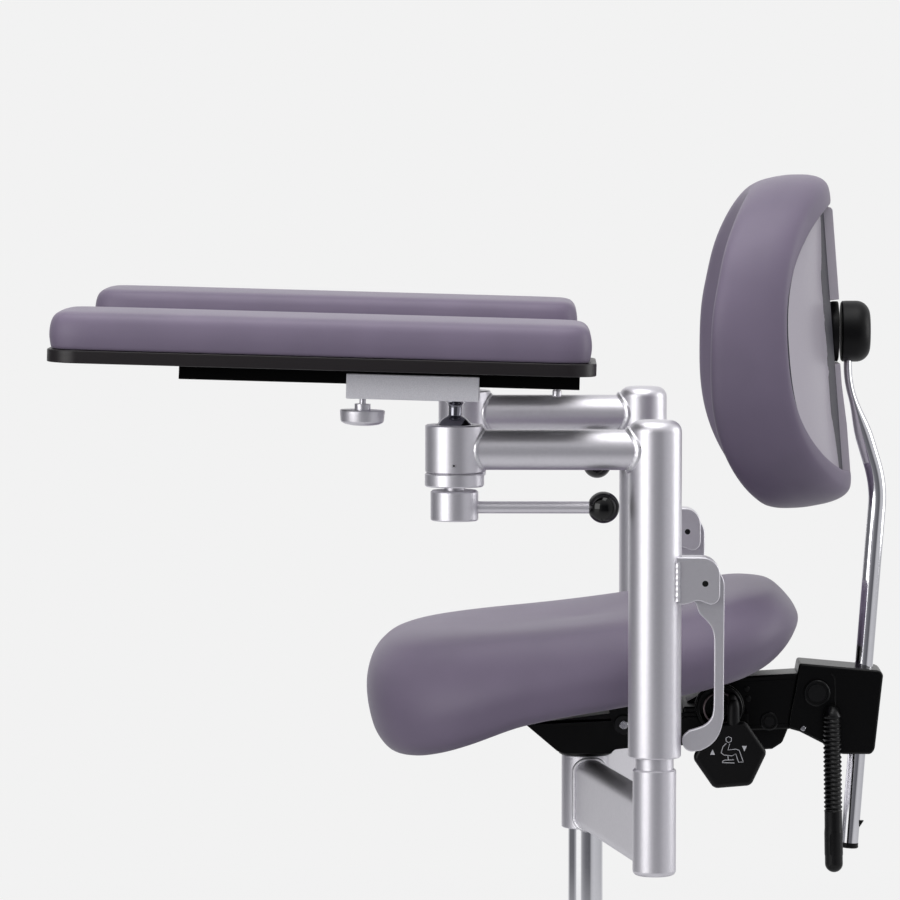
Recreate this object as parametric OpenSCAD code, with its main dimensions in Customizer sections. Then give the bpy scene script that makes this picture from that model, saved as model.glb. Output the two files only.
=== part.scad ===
// Operating stool with two armrests on clamped ball joints.
// Millimetres. The origin is on the floor under the lift column.
// +Z is up, -Y is the front, +X the sitter's left.

/* [Lift column] */
// Height of the hub's lower end over the floor, at rest
hub_z = 362; // [350:1:400]
// Length of the hub sleeve
hub_h = 74; // [70:1:95]
// Diameter of the hub sleeve
hub_d = 48; // [45:1:56]
// Diameter of the lift column
column_d = 35; // [30:1:38]
// Wall of the lift column
column_wall = 2.5; // [2:0.5:4]
// Height of the lift column's lower end over the floor, at rest
column_z = 145; // [140:1:150]
// Diameter of the piston rod
rod_d = 10; // [8:1:12]
// Diameter of the stand tube
stand_d = 50; // [48:1:58]
// Wall of the stand tube
stand_wall = 2.5; // [2:0.5:4]
// Height of the stand tube's top over the floor
stand_top = 262; // [255:1:266]

/* [Star base] */
// Distance from the column's axis to a castor's stem
base_r = 290; // [260:1:320]
// Diameter of the base's hub
base_hub_d = 78; // [72:1:92]
// Height of the base hub's underside over the floor
base_hub_z = 62; // [56:1:66]
// Height of the base's hub
base_hub_h = 62; // [55:1:75]
// Width of a leg at the hub
leg_root_w = 46; // [38:1:52]
// Height of a leg at the hub
leg_root_h = 40; // [32:1:46]
// Width of a leg at its tip
leg_tip_w = 30; // [26:1:36]
// Height of a leg at its tip
leg_tip_h = 26; // [22:1:30]

/* [Castors] */
// Diameter of a castor wheel
wheel_d = 60; // [50:1:65]
// Width of a castor wheel
wheel_w = 17; // [14:1:20]
// Distance from a castor's stem to its axle
trail = 20; // [16:1:24]
// Diameter of a castor's stem
stem_d = 11; // [10:1:12]

/* [Carrier] */
// Distance from the middle of the stool to a post
post_x = 300; // [285:1:320]
// Distance from the column's axis back to the posts
post_y = 62.5; // [50:0.5:75]
// Diameter of a post
post_d = 36; // [34:0.5:36.5]
// Wall of a post
post_wall = 3; // [2:0.5:4]
// Height of the posts' tops over the floor
post_top = 740; // [725:1:750]
// Height of the box arms
box_h = 70; // [60:1:72]
// Width of the box arms
box_w = 30; // [26:1:34]
// Diameter of a socket
socket_d = 41; // [40:0.5:46]
// Height of a socket's lower end over the floor
socket_z = 358; // [352:1:361]
// Length of a socket
socket_h = 101; // [92:1:102]

/* [Armrest arms] */
// Diameter of a sleeve
sleeve_d = 50; // [48:0.5:54]
// Wall of a sleeve
sleeve_wall = 4.5; // [3:0.5:5]
// Height of a sleeve's lower end over the floor
sleeve_z = 470; // [468:1:474]
// Length of a sleeve
sleeve_h = 318; // [310:1:330]
// Diameter of the arm tube
arm_d = 38; // [34:1:40]
// Height of the arm tube's axis over the floor
arm_z = 760; // [756:1:762]
// Distance from a post forward to the ball
reach = 188.5; // [184:0.5:210]
// Diameter of the ball housing
housing_d = 55; // [52:1:60]
// Height of the ball over the floor
ball_z = 774; // [770:1:777]
// Diameter of the ball
ball_d = 38; // [34:1:40]
// Height of the ball housing
housing_h = 45; // [42:1:48]
// Height of the clamp ring
ring_h = 13.2; // [10:0.2:16]

/* [Clamp handle] */
// Diameter of the clamp hub
clamp_d = 45; // [40:1:50]
// Height of the clamp hub
clamp_h = 28.5; // [24:0.5:32]
// Gap between the clamp ring and the clamp hub
clamp_gap = 3.5; // [2:0.5:6]
// Length of the handle from its axis to the middle of the knob
handle_l = 140; // [110:1:142]
// Diameter of the handle's rod
handle_d = 11.5; // [9:0.5:13]
// Diameter of the ball knob
knob_d = 30; // [26:1:34]

/* [Armrest pads] */
// Pitch of the pads, front end up, in degrees
pad_pitch = 1.55; // [0:0.05:3]
// Length of a pad board
board_l = 508; // [480:1:540]
// Width of a pad board
board_w = 160; // [130:1:180]
// Thickness of a pad board
board_t = 12; // [9:0.1:15]
// Radius of a pad board's corners
board_corner = 30; // [15:1:45]
// Distance from the ball back to the pad board's rear end
board_rear = 131; // [120:1:140]
// Thickness of a pad
pad_t = 35; // [30:1:50]
// How far a pad stands back from the board's edge
pad_inset = 2.7; // [1:0.1:6]
// How much further forward the right pad is set
right_pad_shift = 8; // [0:1:12]
// Length of the rail
rail_l = 375; // [350:1:390]
// Width of the rail's foot
rail_w = 46; // [40:1:50]
// Height of the rail
rail_h = 14.8; // [12:0.1:16]
// Length of the slide block
block_l = 124; // [115:1:135]
// Width of the slide block
block_w = 66; // [62:1:76]
// Height of the slide block
block_h = 23.4; // [22:0.1:26]
// Height of the slide block's underside over the ball
block_rise = 33; // [30:0.1:34]
// Diameter of the thumb screw's head
thumb_d = 42; // [36:1:46]

/* [Seat] */
// Length of the seat cushion
seat_l = 430; // [400:1:440]
// Width of the seat cushion
seat_w = 420; // [380:1:430]
// Distance from the column's axis forward to the seat's front edge
seat_front = 218; // [205:1:225]
// Height of the seat's lowest point over the floor
seat_z = 456; // [454:1:460]
// Height of the seat from its lowest to its highest point
seat_rise = 146; // [140:1:150]
// Thickness of the seat board
seat_board_t = 9; // [8:1:12]

/* [Seat mechanism] */
// Length of the mechanism pan
pan_l = 222; // [210:1:228]
// Width of the mechanism pan
pan_w = 130; // [120:1:140]
// Depth of the mechanism pan at the seat's pivot
pan_h = 42; // [38:1:43]
// Sheet thickness of the pan
pan_wall = 3; // [2:0.5:4]
// Distance from the column's axis back to the seat's pivot
seat_pivot_y = 37; // [32:1:42]
// Height of the seat's pivot over the pan's underside
seat_pivot_rise = 29.5; // [27:0.5:31]
// Across the corners of the tilt paddle
paddle_d = 70; // [60:1:76]
// Thickness of the tilt paddle
paddle_t = 11; // [8:1:14]
// Diameter of the height lever's rod
lever_d = 8; // [6:0.5:9]

/* [Back frame] */
// Distance from the column's axis back to the bracket's pivot
back_pivot_y = 229.5; // [228:0.5:232]
// Height of the bracket's pivot over the floor
back_pivot_z = 500.5; // [498:0.5:503]
// Width of the back arm
back_arm_w = 50; // [44:1:54]
// Gap between the back arm and each of the bracket's cheeks
cheek_gap = 2; // [1:0.5:3]
// Sheet thickness of the rear bracket
bracket_wall = 3; // [2:0.5:4]
// Diameter of the back bar
bar_d = 18; // [16:0.5:20]
// Lean of the back bar's straight run, top end back, in degrees
bar_lean = 4.36; // [3.5:0.02:5]
// Diameter of the backrest lever's grip
grip_d = 18.5; // [16:0.5:20]

/* [Backrest] */
// Height of the backrest cushion
back_h = 338; // [310:1:345]
// Width of the backrest cushion
back_w = 380; // [340:1:400]
// Thickness of the backrest cushion at its edge
back_t = 80; // [66:1:84]
// How far the backrest's sides come forward of its middle
back_hollow = 48; // [36:1:56]
// How far the backrest's middle lies under the back joint
back_under = 11; // [3:1:15]
// Thickness of the backrest's shell
shell_t = 9; // [7:0.5:12]
// Height of the back joint over the floor
joint_z = 859; // [852:1:862]
// Diameter of the back joint
joint_d = 60; // [56:1:62]

/* [Hidden] */
$fn = 48;
hull_fn = 32;
// Clearance of a running fit, a close fit, a soft part and a cut's overrun
run_fit = 0.05;
gap = 0.3;
overrun = 1;
// Colours
aluminium = [0.78, 0.77, 0.79];
chrome = [0.86, 0.86, 0.88];
steel = [0.6, 0.6, 0.62];
black_steel = [0.09, 0.09, 0.1];
black_plastic = [0.07, 0.07, 0.075];
leatherette = [0.45, 0.4, 0.49];
shell_grey = [0.68, 0.66, 0.7];
grey_rubber = [0.4, 0.4, 0.42];

// Rings, arcs and lofts
function arc(at, r, from, to, steps = 6) =
    [for (i = [0:steps]) at + r * [cos(from + (to - from) * i / steps),
        sin(from + (to - from) * i / steps)]];
function round_box(x, y, r, steps = 5) = concat(
    arc([x / 2 - r, y / 2 - r], r, 0, 90, steps), arc([r - x / 2, y / 2 - r], r, 90, 180, steps),
    arc([r - x / 2, r - y / 2], r, 180, 270, steps), arc([x / 2 - r, r - y / 2], r, 270, 360, steps));
// A point of a rounded square with half sides of 1, at an angle
function squircle(angle, power) =
    let (c = cos(angle), s = sin(angle), k = pow(pow(abs(c), power) + pow(abs(s), power), -1 / power))
    [c * k, s * k];
function mean(points) = [for (k = [0:2]) [for (p = points) p[k]] * [for (p = points) 1] / len(points)];
// A closed solid through rings of points, with a middle point at each end
module loft(rings) {
    n = len(rings[0]);
    points = concat([mean(rings[0])], [for (ring = rings) each ring], [mean(rings[len(rings) - 1])]);
    last = len(points) - 1;
    faces = concat(
        [for (j = [0:n - 1]) [0, 1 + j, 1 + (j + 1) % n]],
        [for (i = [0:len(rings) - 2], j = [0:n - 1])
            let (a = 1 + i * n + j, b = 1 + i * n + (j + 1) % n)
            each [[a, a + n, b], [b, a + n, b + n]]],
        [for (j = [0:n - 1]) [last, last - n + (j + 1) % n, last - n + j]]);
    polyhedron(points, faces);
}
// An outline in Y and Z, extruded to both sides along X
module along_x(points, width) {
    rotate([90, 0, 90]) translate([0, 0, -width / 2]) linear_extrude(width) polygon(points);
}
module x_rod(d, from, to) translate([from, 0, 0]) rotate([0, 90, 0]) cylinder(d = d, h = to - from);
module tube(outer, inner, h) difference() {
    cylinder(d = outer, h = h);
    translate([0, 0, -overrun]) cylinder(d = inner, h = h + 2 * overrun);
}

// Star base: a cast hub and five legs, each with a blind bore for a castor's stem
leg_count = 5;
leg_edge = 4;
base_floor = 6;
hood_gap = 3.5;
stem_gap = 2;
hood_wall = 2.4;
tip_z = wheel_d + hood_wall + hood_gap + stem_gap;
stem_depth = leg_tip_h - leg_edge;
function leg_angle(i) = -90 + i * 360 / leg_count;
module leg_end(w, h) {
    cylinder(d = w, h = h - leg_edge, $fn = hull_fn);
    translate([0, 0, leg_edge]) cylinder(d = w - 2 * leg_edge, h = h - leg_edge, $fn = hull_fn);
}
module leg() hull() {
    translate([base_hub_d / 4, 0, base_hub_z + base_hub_h - leg_root_h - leg_edge])
        leg_end(leg_root_w, leg_root_h);
    translate([base_r, 0, tip_z]) leg_end(leg_tip_w, leg_tip_h);
}
module star_base() color(aluminium) difference() {
    union() {
        translate([0, 0, base_hub_z]) cylinder(d = base_hub_d, h = base_hub_h);
        for (i = [0:leg_count - 1]) rotate(leg_angle(i)) leg();
    }
    translate([0, 0, base_hub_z + base_floor]) cylinder(d = stand_d + 2 * run_fit, h = base_hub_h + overrun);
    translate([0, 0, base_hub_z - overrun]) cylinder(d = rod_d + 2 * run_fit, h = base_floor + 2 * overrun);
    for (i = [0:leg_count - 1]) rotate(leg_angle(i)) translate([base_r, 0, tip_z - overrun])
        cylinder(d = stem_d + 2 * run_fit, h = stem_depth + overrun);
}

// Stand tube, with the guide bush that the lift column slides in
bush_l = 44;
bush_flange = 5;
bush_lip = 2;
module stand_tube() color(aluminium) translate([0, 0, base_hub_z + base_floor])
    tube(stand_d, stand_d - 2 * stand_wall, stand_top - base_hub_z - base_floor);
module column_bush() color(black_plastic) {
    translate([0, 0, stand_top - bush_l])
        tube(stand_d - 2 * stand_wall - 2 * run_fit, column_d + 2 * run_fit, bush_l + bush_flange);
    translate([0, 0, stand_top]) tube(stand_d + 2 * bush_lip, column_d + 2 * run_fit, bush_flange);
}

// Gas spring: the rod stands on the base, the lift column is its cylinder
gland_h = 10;
column_cap = 8;
hub_cap = 7;
piston_h = 12;
piston_share = 0.4;
foot_d = 24;
foot_h = 4;
pin_d = 8;
column_top = hub_z + hub_h - hub_cap;
bore_d = column_d - 2 * column_wall;
piston_z = column_z + gland_h + piston_share * (column_top - column_cap - column_z - gland_h);
module gas_rod() color(steel) {
    translate([0, 0, base_hub_z - foot_h]) cylinder(d = foot_d, h = foot_h);
    translate([0, 0, base_hub_z - foot_h]) cylinder(d = rod_d, h = piston_z - base_hub_z + foot_h);
    translate([0, 0, piston_z]) cylinder(d = bore_d - 2 * run_fit, h = piston_h);
}
module lift_column() color(chrome) difference() {
    translate([0, 0, column_z]) cylinder(d = column_d, h = column_top - column_z);
    translate([0, 0, column_z + gland_h])
        cylinder(d = bore_d, h = column_top - column_cap - column_z - gland_h);
    translate([0, 0, column_z - overrun]) cylinder(d = rod_d + 2 * run_fit, h = gland_h + 2 * overrun);
    translate([0, 0, column_top - column_cap - overrun])
        cylinder(d = pin_d + 2 * run_fit, h = column_cap + 2 * overrun);
}

// Castor: a hood with its stem, and two wheels on one axle
web_w = 9;
web_share = 0.72;
web_step = 1;
axle_d = 8;
tread = 4;
wheel_gap = 0.6;
hub_dish = 2.5;
hood_neck_d = 19;
hood_from = -22;
hood_to = 150;
castor_w = web_w + 2 * wheel_gap + 2 * wheel_w;
module castor_at(i) rotate(leg_angle(i)) translate([base_r, 0, 0]) children();
module on_axle() translate([trail, 0, wheel_d / 2]) rotate([90, 0, 0]) children();
module castor_hood() color(black_plastic) difference() {
    union() {
        on_axle() translate([0, 0, -castor_w / 2]) rotate(hood_from)
            rotate_extrude(angle = hood_to - hood_from)
            translate([wheel_d / 2 + hood_gap, 0]) square([hood_wall, castor_w]);
        on_axle() translate([0, 0, -web_w / 2]) cylinder(d = web_share * wheel_d, h = web_w);
        on_axle() translate([0, 0, web_step - web_w / 2]) rotate(hood_from + web_step)
            rotate_extrude(angle = hood_to - hood_from - 2 * web_step)
                square([wheel_d / 2 + hood_gap + hood_wall / 2, web_w - 2 * web_step]);
        translate([0, 0, wheel_d / 2 + hood_gap])
            cylinder(d = hood_neck_d, h = tip_z - gap - wheel_d / 2 - hood_gap);
        translate([0, 0, tip_z - gap - overrun]) cylinder(d = stem_d, h = gap + stem_depth);
    }
    on_axle() translate([0, 0, -castor_w]) cylinder(d = axle_d + 2 * run_fit, h = 2 * castor_w);
    for (side = [0, 1]) mirror([0, side, 0]) on_axle() translate([0, 0, (web_w + wheel_gap) / 2])
        cylinder(d = wheel_d + hood_gap, h = castor_w);
}
module wheel() rotate_extrude() polygon(concat([[0, 0], [wheel_d / 2 - tread, 0]],
    arc([wheel_d / 2 - tread, tread], tread, -90, 0, 4),
    arc([wheel_d / 2 - tread, wheel_w - tread], tread, 0, 90, 4),
    [[wheel_d / 2 - 2 * tread, wheel_w - hub_dish], [wheel_d / 4, wheel_w - hub_dish],
     [wheel_d / 5, wheel_w], [0, wheel_w]]));
module castor_wheels() color(grey_rubber) on_axle() {
    translate([0, 0, -web_w / 2 - wheel_gap]) cylinder(d = axle_d, h = web_w + 2 * wheel_gap);
    translate([0, 0, web_w / 2 + wheel_gap]) wheel();
    mirror([0, 0, 1]) translate([0, 0, web_w / 2 + wheel_gap]) wheel();
}
module castor_1_hood() castor_at(0) castor_hood();
module castor_2_hood() castor_at(1) castor_hood();
module castor_3_hood() castor_at(2) castor_hood();
module castor_4_hood() castor_at(3) castor_hood();
module castor_5_hood() castor_at(4) castor_hood();
module castor_1_wheels() castor_at(0) castor_wheels();
module castor_2_wheels() castor_at(1) castor_wheels();
module castor_3_wheels() castor_at(2) castor_wheels();
module castor_4_wheels() castor_at(3) castor_wheels();
module castor_5_wheels() castor_at(4) castor_wheels();

// Carrier: hub, two box arms, two sockets and the posts that stand in them
socket_round = 5;
socket_chamfer = 1.6;
box_round = 13;
pin_room = 8;
module sides() for (side = [0, 1]) mirror([side, 0, 0]) children();
module box_arm() rotate(atan2(post_y, post_x)) translate([0, 0, hub_z + box_h / 2]) rotate([90, 0, 90])
    linear_extrude(norm([post_x, post_y])) polygon(round_box(box_w, box_h, box_round));
module socket() rotate_extrude() polygon(concat([[0, 0]],
    arc([socket_d / 2 - socket_round, socket_round], socket_round, -90, 0, 5),
    [[socket_d / 2, socket_h - socket_chamfer], [socket_d / 2 - socket_chamfer, socket_h], [0, socket_h]]));
module carrier() color(aluminium) difference() {
    union() {
        translate([0, 0, hub_z]) cylinder(d = hub_d, h = hub_h);
        sides() box_arm();
        sides() translate([post_x, post_y, socket_z]) socket();
        sides() translate([post_x, post_y, socket_z]) cylinder(d = post_d, h = post_top - socket_z);
    }
    translate([0, 0, hub_z - overrun]) cylinder(d = column_d + 2 * run_fit, h = hub_h - hub_cap + overrun);
    translate([0, 0, hub_z]) cylinder(d = pin_d + pin_room, h = hub_h + overrun);
    sides() translate([post_x, post_y, socket_z + socket_h])
        cylinder(d = post_d - 2 * post_wall, h = post_top - socket_z);
}

// Mechanism pan: pressed sheet, open on top, on a round collar that sits on the hub
collar_h = 7.5;
collar_d = 54;
pan_z = hub_z + hub_h + collar_h;
pan_nose = 62;
pan_under_shares = [[0, 0.65], [0.15, 0.06], [0.18, 0], [0.385, 0], [0.41, 0.1], [0.46, 0.13], [0.7, 0.2],
    [1, 0.3]];
pan_top_shares = [[1, 0.95], [0.45, 1], [0, 0.69]];
boss_y = 131.5;
boss_rise = 46;
boss_d = 46;
boss_ring = 3;
boss_out = 7;
boss_core_d = 18;
shaft_y = 143.5;
shaft_rise = 55;
shaft_d = 10;
wall_pivot_d = 12;
seat_pivot_z = pan_z + seat_pivot_rise;
lever_rise = 18;
lever_z = pan_z + lever_rise;
function pan_at(shares) = [for (s = shares) [s[0] * pan_l - pan_nose, pan_z + s[1] * pan_h]];
module pan_cut() {
    under = [for (p = pan_at(pan_under_shares)) p + [pan_wall, pan_wall]];
    along_x(concat(under, [[under[len(under) - 1][0], pan_z + 2 * pan_h], [under[0][0], pan_z + 2 * pan_h]]),
        pan_w - 2 * pan_wall);
}
module mechanism_pan() color(black_steel) difference() {
    union() {
        difference() {
            along_x(concat(pan_at(pan_under_shares), pan_at(pan_top_shares)), pan_w);
            pan_cut();
        }
        translate([pan_w / 2 - pan_wall, boss_y, pan_z + boss_rise]) rotate([0, 90, 0])
            cylinder(d = boss_d + boss_ring, h = pan_wall);
        translate([pan_w / 2, boss_y, pan_z + boss_rise]) rotate([0, 90, 0]) {
            tube(boss_d, boss_d - 2 * boss_ring, boss_out);
            cylinder(d = boss_core_d, h = boss_out);
        }
        translate([0, 0, hub_z + hub_h]) cylinder(d = collar_d, h = collar_h + pan_wall);
    }
    translate([0, 0, hub_z]) cylinder(d = pin_d + pin_room, h = hub_h + collar_h + 2 * pan_wall);
    translate([0, shaft_y, pan_z + shaft_rise]) x_rod(shaft_d + 2 * run_fit, 0, pan_w);
    translate([0, 0, lever_z]) x_rod(wall_pivot_d + 2 * run_fit, -pan_w, 0);
    translate([0, seat_pivot_y, seat_pivot_z]) x_rod(tilt_pin_d + 2 * run_fit, -pan_w, pan_w);
    translate([0, arm_pin_y, arm_pin_z]) x_rod(arm_pin_d + 2 * run_fit, -pan_w, pan_w);
}

// Pins: the seat's tilt pin, the back arm's two bolts and the bracket's pivot bolt
tilt_pin_d = 10;
tilt_head = 2;
arm_pin_d = 10;
arm_pin_y = 106;
arm_pin_rise = 22;
arm_pin_z = pan_z + arm_pin_rise;
arm_bolt_y = 182.5;
arm_bolt_z = back_pivot_z - 29;
arm_bolt_d = 8;
arm_bolt_head_d = 18;
bolt_d = 12;
bolt_cap_d = 26;
bolt_cap_h = 4.5;
bolt_edge = 1.5;
head_h = 3;
bracket_w = back_arm_w + 2 * cheek_gap + 2 * bracket_wall;
module headed_pin(d, head_d, half, head) {
    x_rod(d, -half, half);
    sides() x_rod(head_d, half, half + head);
}
module mechanism_pins() color(steel) {
    translate([0, seat_pivot_y, seat_pivot_z])
        headed_pin(tilt_pin_d, tilt_pin_d + tilt_head, ear_out + gap, head_h);
    translate([0, arm_pin_y, arm_pin_z]) x_rod(arm_pin_d, -pan_w / 2, pan_w / 2);
    translate([0, arm_bolt_y, arm_bolt_z])
        headed_pin(arm_bolt_d, arm_bolt_head_d, back_arm_w / 2, cheek_gap - gap);
    translate([0, back_pivot_y, back_pivot_z]) {
        x_rod(bolt_d, -bracket_w / 2, bracket_w / 2);
        sides() translate([bracket_w / 2 + gap, 0, 0]) rotate([0, 90, 0]) rotate_extrude() polygon([
            [0, -gap], [bolt_d / 2, -gap], [bolt_d / 2, 0], [bolt_cap_d / 2, 0],
            [bolt_cap_d / 2, bolt_cap_h - bolt_edge], [bolt_cap_d / 2 - bolt_edge, bolt_cap_h],
            [0, bolt_cap_h]]);
    }
}

// Back arm: a cross box bolted in the pan, and a channel back to the bracket's pivot
cross_y = 96;
cross_l = 50;
cross_h = 32;
arm_wall = 4;
arm_end_r = 26;
arm_lift = 27;
arm_drop = 40;
arm_dip = 3;
cross_rise_share = 0.3;
cross_z = pan_z + pan_h * cross_rise_share + pan_wall + gap;
module back_arm() color(black_steel) difference() {
    union() {
        translate([-pan_w / 2 + pan_wall + run_fit, cross_y, cross_z])
            cube([pan_w - 2 * pan_wall - 2 * run_fit, cross_l, cross_h - overrun]);
        along_x(concat([[cross_y + arm_wall, cross_z],
            [back_pivot_y - arm_end_r, back_pivot_z - arm_drop + arm_dip]],
            arc([back_pivot_y, back_pivot_z], arm_end_r, -90, 90, 10),
            [[back_pivot_y - arm_end_r, back_pivot_z + arm_lift],
            [cross_y + cross_l, back_pivot_z + arm_lift - arm_dip],
             [cross_y + arm_wall, cross_z + cross_h - overrun]]), back_arm_w);
    }
    along_x(concat([[cross_y + 2 * arm_wall, cross_z - overrun],
        [back_pivot_y + 2 * arm_end_r, back_pivot_z - arm_drop - overrun]],
        [[back_pivot_y + 2 * arm_end_r, back_pivot_z + arm_lift - 3 * arm_wall],
         [cross_y + cross_l, back_pivot_z + arm_lift - 3 * arm_wall],
         [cross_y + 2 * arm_wall, cross_z + cross_h - 2 * arm_wall]]), back_arm_w - 2 * arm_wall);
    translate([0, back_pivot_y, back_pivot_z]) x_rod(bolt_d + 2 * run_fit, -bracket_w, bracket_w);
    translate([0, arm_bolt_y, arm_bolt_z]) x_rod(arm_bolt_d + 2 * run_fit, -bracket_w, bracket_w);
    translate([0, arm_pin_y, arm_pin_z]) x_rod(arm_pin_d + 2 * run_fit, -pan_w, pan_w);
}

// Height lever: a rod through the pan's far wall, over the valve pin, with a flat grip
lever_out = 185;
lever_grip_l = 62;
lever_grip_w = 30;
lever_grip_t = 9;
lever_over = 6;
module valve_pin() color(steel) translate([0, 0, column_top - column_cap / 2])
    cylinder(d = pin_d, h = lever_z - lever_d / 2 - gap - column_top + column_cap / 2);
module height_lever() color(black_plastic) translate([0, 0, lever_z]) {
    x_rod(lever_d, -lever_out, lever_over);
    translate([-pan_w / 2 + pan_wall / 2, 0, 0]) sphere(d = wall_pivot_d);
    translate([-lever_out - lever_grip_l / 3, 0, -lever_grip_t / 2])
        linear_extrude(lever_grip_t) polygon(round_box(lever_grip_l, lever_grip_w, lever_grip_w / 3));
}

// Tilt paddle: a shaft out of the boss, a neck down and a six-sided paddle with bevelled edges
paddle_x = 118;
paddle_drop = 49;
paddle_shift = 4;
paddle_bevel = 4;
neck_t = 12;
hex = 6;
module paddle_half(share) rotate([0, 90, 0]) rotate(90) {
    linear_extrude(paddle_t / 2 - paddle_bevel) circle(d = paddle_d, $fn = hex);
    translate([0, 0, paddle_t / 2 - paddle_bevel])
        linear_extrude(paddle_bevel, scale = share) circle(d = paddle_d, $fn = hex);
}
module tilt_paddle() color(black_plastic) translate([0, shaft_y, pan_z + shaft_rise]) {
    x_rod(shaft_d, pan_w / 2 - 2 * pan_wall, paddle_x);
    translate([paddle_x, 0, 0]) sphere(d = neck_t);
    translate([paddle_x, 0, -paddle_drop]) cylinder(d = neck_t, h = paddle_drop);
    translate([paddle_x, -paddle_shift, -paddle_drop]) {
        paddle_half(1 - 2 * paddle_bevel / paddle_d);
        mirror([1, 0, 0]) paddle_half(1 - 2 * paddle_bevel / paddle_d);
    }
}

// Seat: a steel plate with two ears on the tilt pin, a moulded board and the cushion
// Shares run along the seat's length and up its height, under and over the cushion's middle
seat_under_shares = [[0, 0.1], [0.06, 0.03], [0.12, 0.015], [0.18, 0.03], [0.24, 0.08], [0.37, 0.215],
    [0.6, 0.34], [0.72, 0.41], [0.82, 0.49], [0.88, 0.56], [0.94, 0.66], [1, 0.78]];
seat_over_shares = [[0, 0.59], [0.05, 0.64], [0.12, 0.69], [0.24, 0.745], [0.42, 0.795], [0.6, 0.865],
    [0.75, 0.93], [0.84, 0.985], [0.9, 1], [0.95, 0.99], [1, 0.95]];
seat_power = 3.2;
seat_dish = 7;
seat_slope = 10.6;
board_rise = seat_board_t / (seat_over(0) - seat_under(0));
board_room = 0.02;
seat_plate_y = 15;
seat_plate_front = 55;
seat_plate_rear = 90;
seat_plate_w = 138;
seat_plate_t = 3;
seat_plate_gap = 0.3;
ear_w = 34;
ear_h = seat_under(seat_plate_y) - seat_plate_gap - seat_plate_t / 2 - seat_pivot_z
    + (seat_pivot_y - seat_plate_y) * tan(seat_slope);
ear_out = pan_w / 2 + gap + seat_plate_t;
function seat_under(y) = seat_z + seat_rise * lookup((y + seat_front) / seat_l, seat_under_shares);
function seat_over(y) = seat_z + seat_rise * lookup((y + seat_front) / seat_l, seat_over_shares);
// reach runs from the middle to the edge, rise from the underside to the top
function seat_point(angle, reach, rise) =
    let (s = squircle(angle, seat_power), x = s[0] * reach * seat_w / 2,
        y = seat_l / 2 - seat_front + s[1] * reach * seat_l / 2, low = seat_under(y), high = seat_over(y))
    [x, y, low + rise * (high - low) - seat_dish * rise * (1 - reach) * (1 - reach)];
function seat_ring(reach, rise, sides) = [for (i = [0:sides - 1]) seat_point(i * 360 / sides, reach, rise)];
pocket_rise = board_rise + board_room;
seat_form_shares = [[0.2, pocket_rise], [0.32, pocket_rise], [0.5, pocket_rise], [0.86, pocket_rise],
    [0.865, 0], [0.92, 0.02], [0.965, 0.12], [0.99, 0.28], [1, 0.46], [0.985, 0.66], [0.945, 0.83],
    [0.87, 0.94], [0.74, 0.99], [0.5, 1], [0.25, 1]];
seat_board_shares = [[0.2, 0.005], [0.32, 0.005], [0.5, 0.005], [0.84, 0.005], [0.85, 0.02],
    [0.85, board_rise], [0.5, board_rise], [0.32, board_rise], [0.2, board_rise]];
seat_sides = 40;
module seat_cushion() color(leatherette)
    loft([for (s = seat_form_shares) seat_ring(s[0], s[1], seat_sides)]);
module seat_board() color(black_plastic)
    loft([for (s = seat_board_shares) seat_ring(s[0], s[1], seat_sides)]);
module seat_plate() color(black_steel) difference() {
    union() {
        translate([0, seat_plate_y, seat_under(seat_plate_y) - seat_plate_gap]) rotate([seat_slope, 0, 0])
            translate([-seat_plate_w / 2, -seat_plate_front, -seat_plate_t])
                cube([seat_plate_w, seat_plate_front + seat_plate_rear, seat_plate_t]);
        sides() translate([ear_out - seat_plate_t / 2, 0, 0]) along_x(concat(
            arc([seat_pivot_y, seat_pivot_z], ear_w / 3, 180, 360, 8),
            [[seat_pivot_y + ear_w / 2, seat_pivot_z + ear_h + ear_w / 2 * tan(seat_slope)],
             [seat_pivot_y - ear_w / 2, seat_pivot_z + ear_h - ear_w / 2 * tan(seat_slope)]]), seat_plate_t);
    }
    translate([0, seat_pivot_y, seat_pivot_z]) x_rod(tilt_pin_d + 2 * run_fit, -pan_w, pan_w);
}

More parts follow.
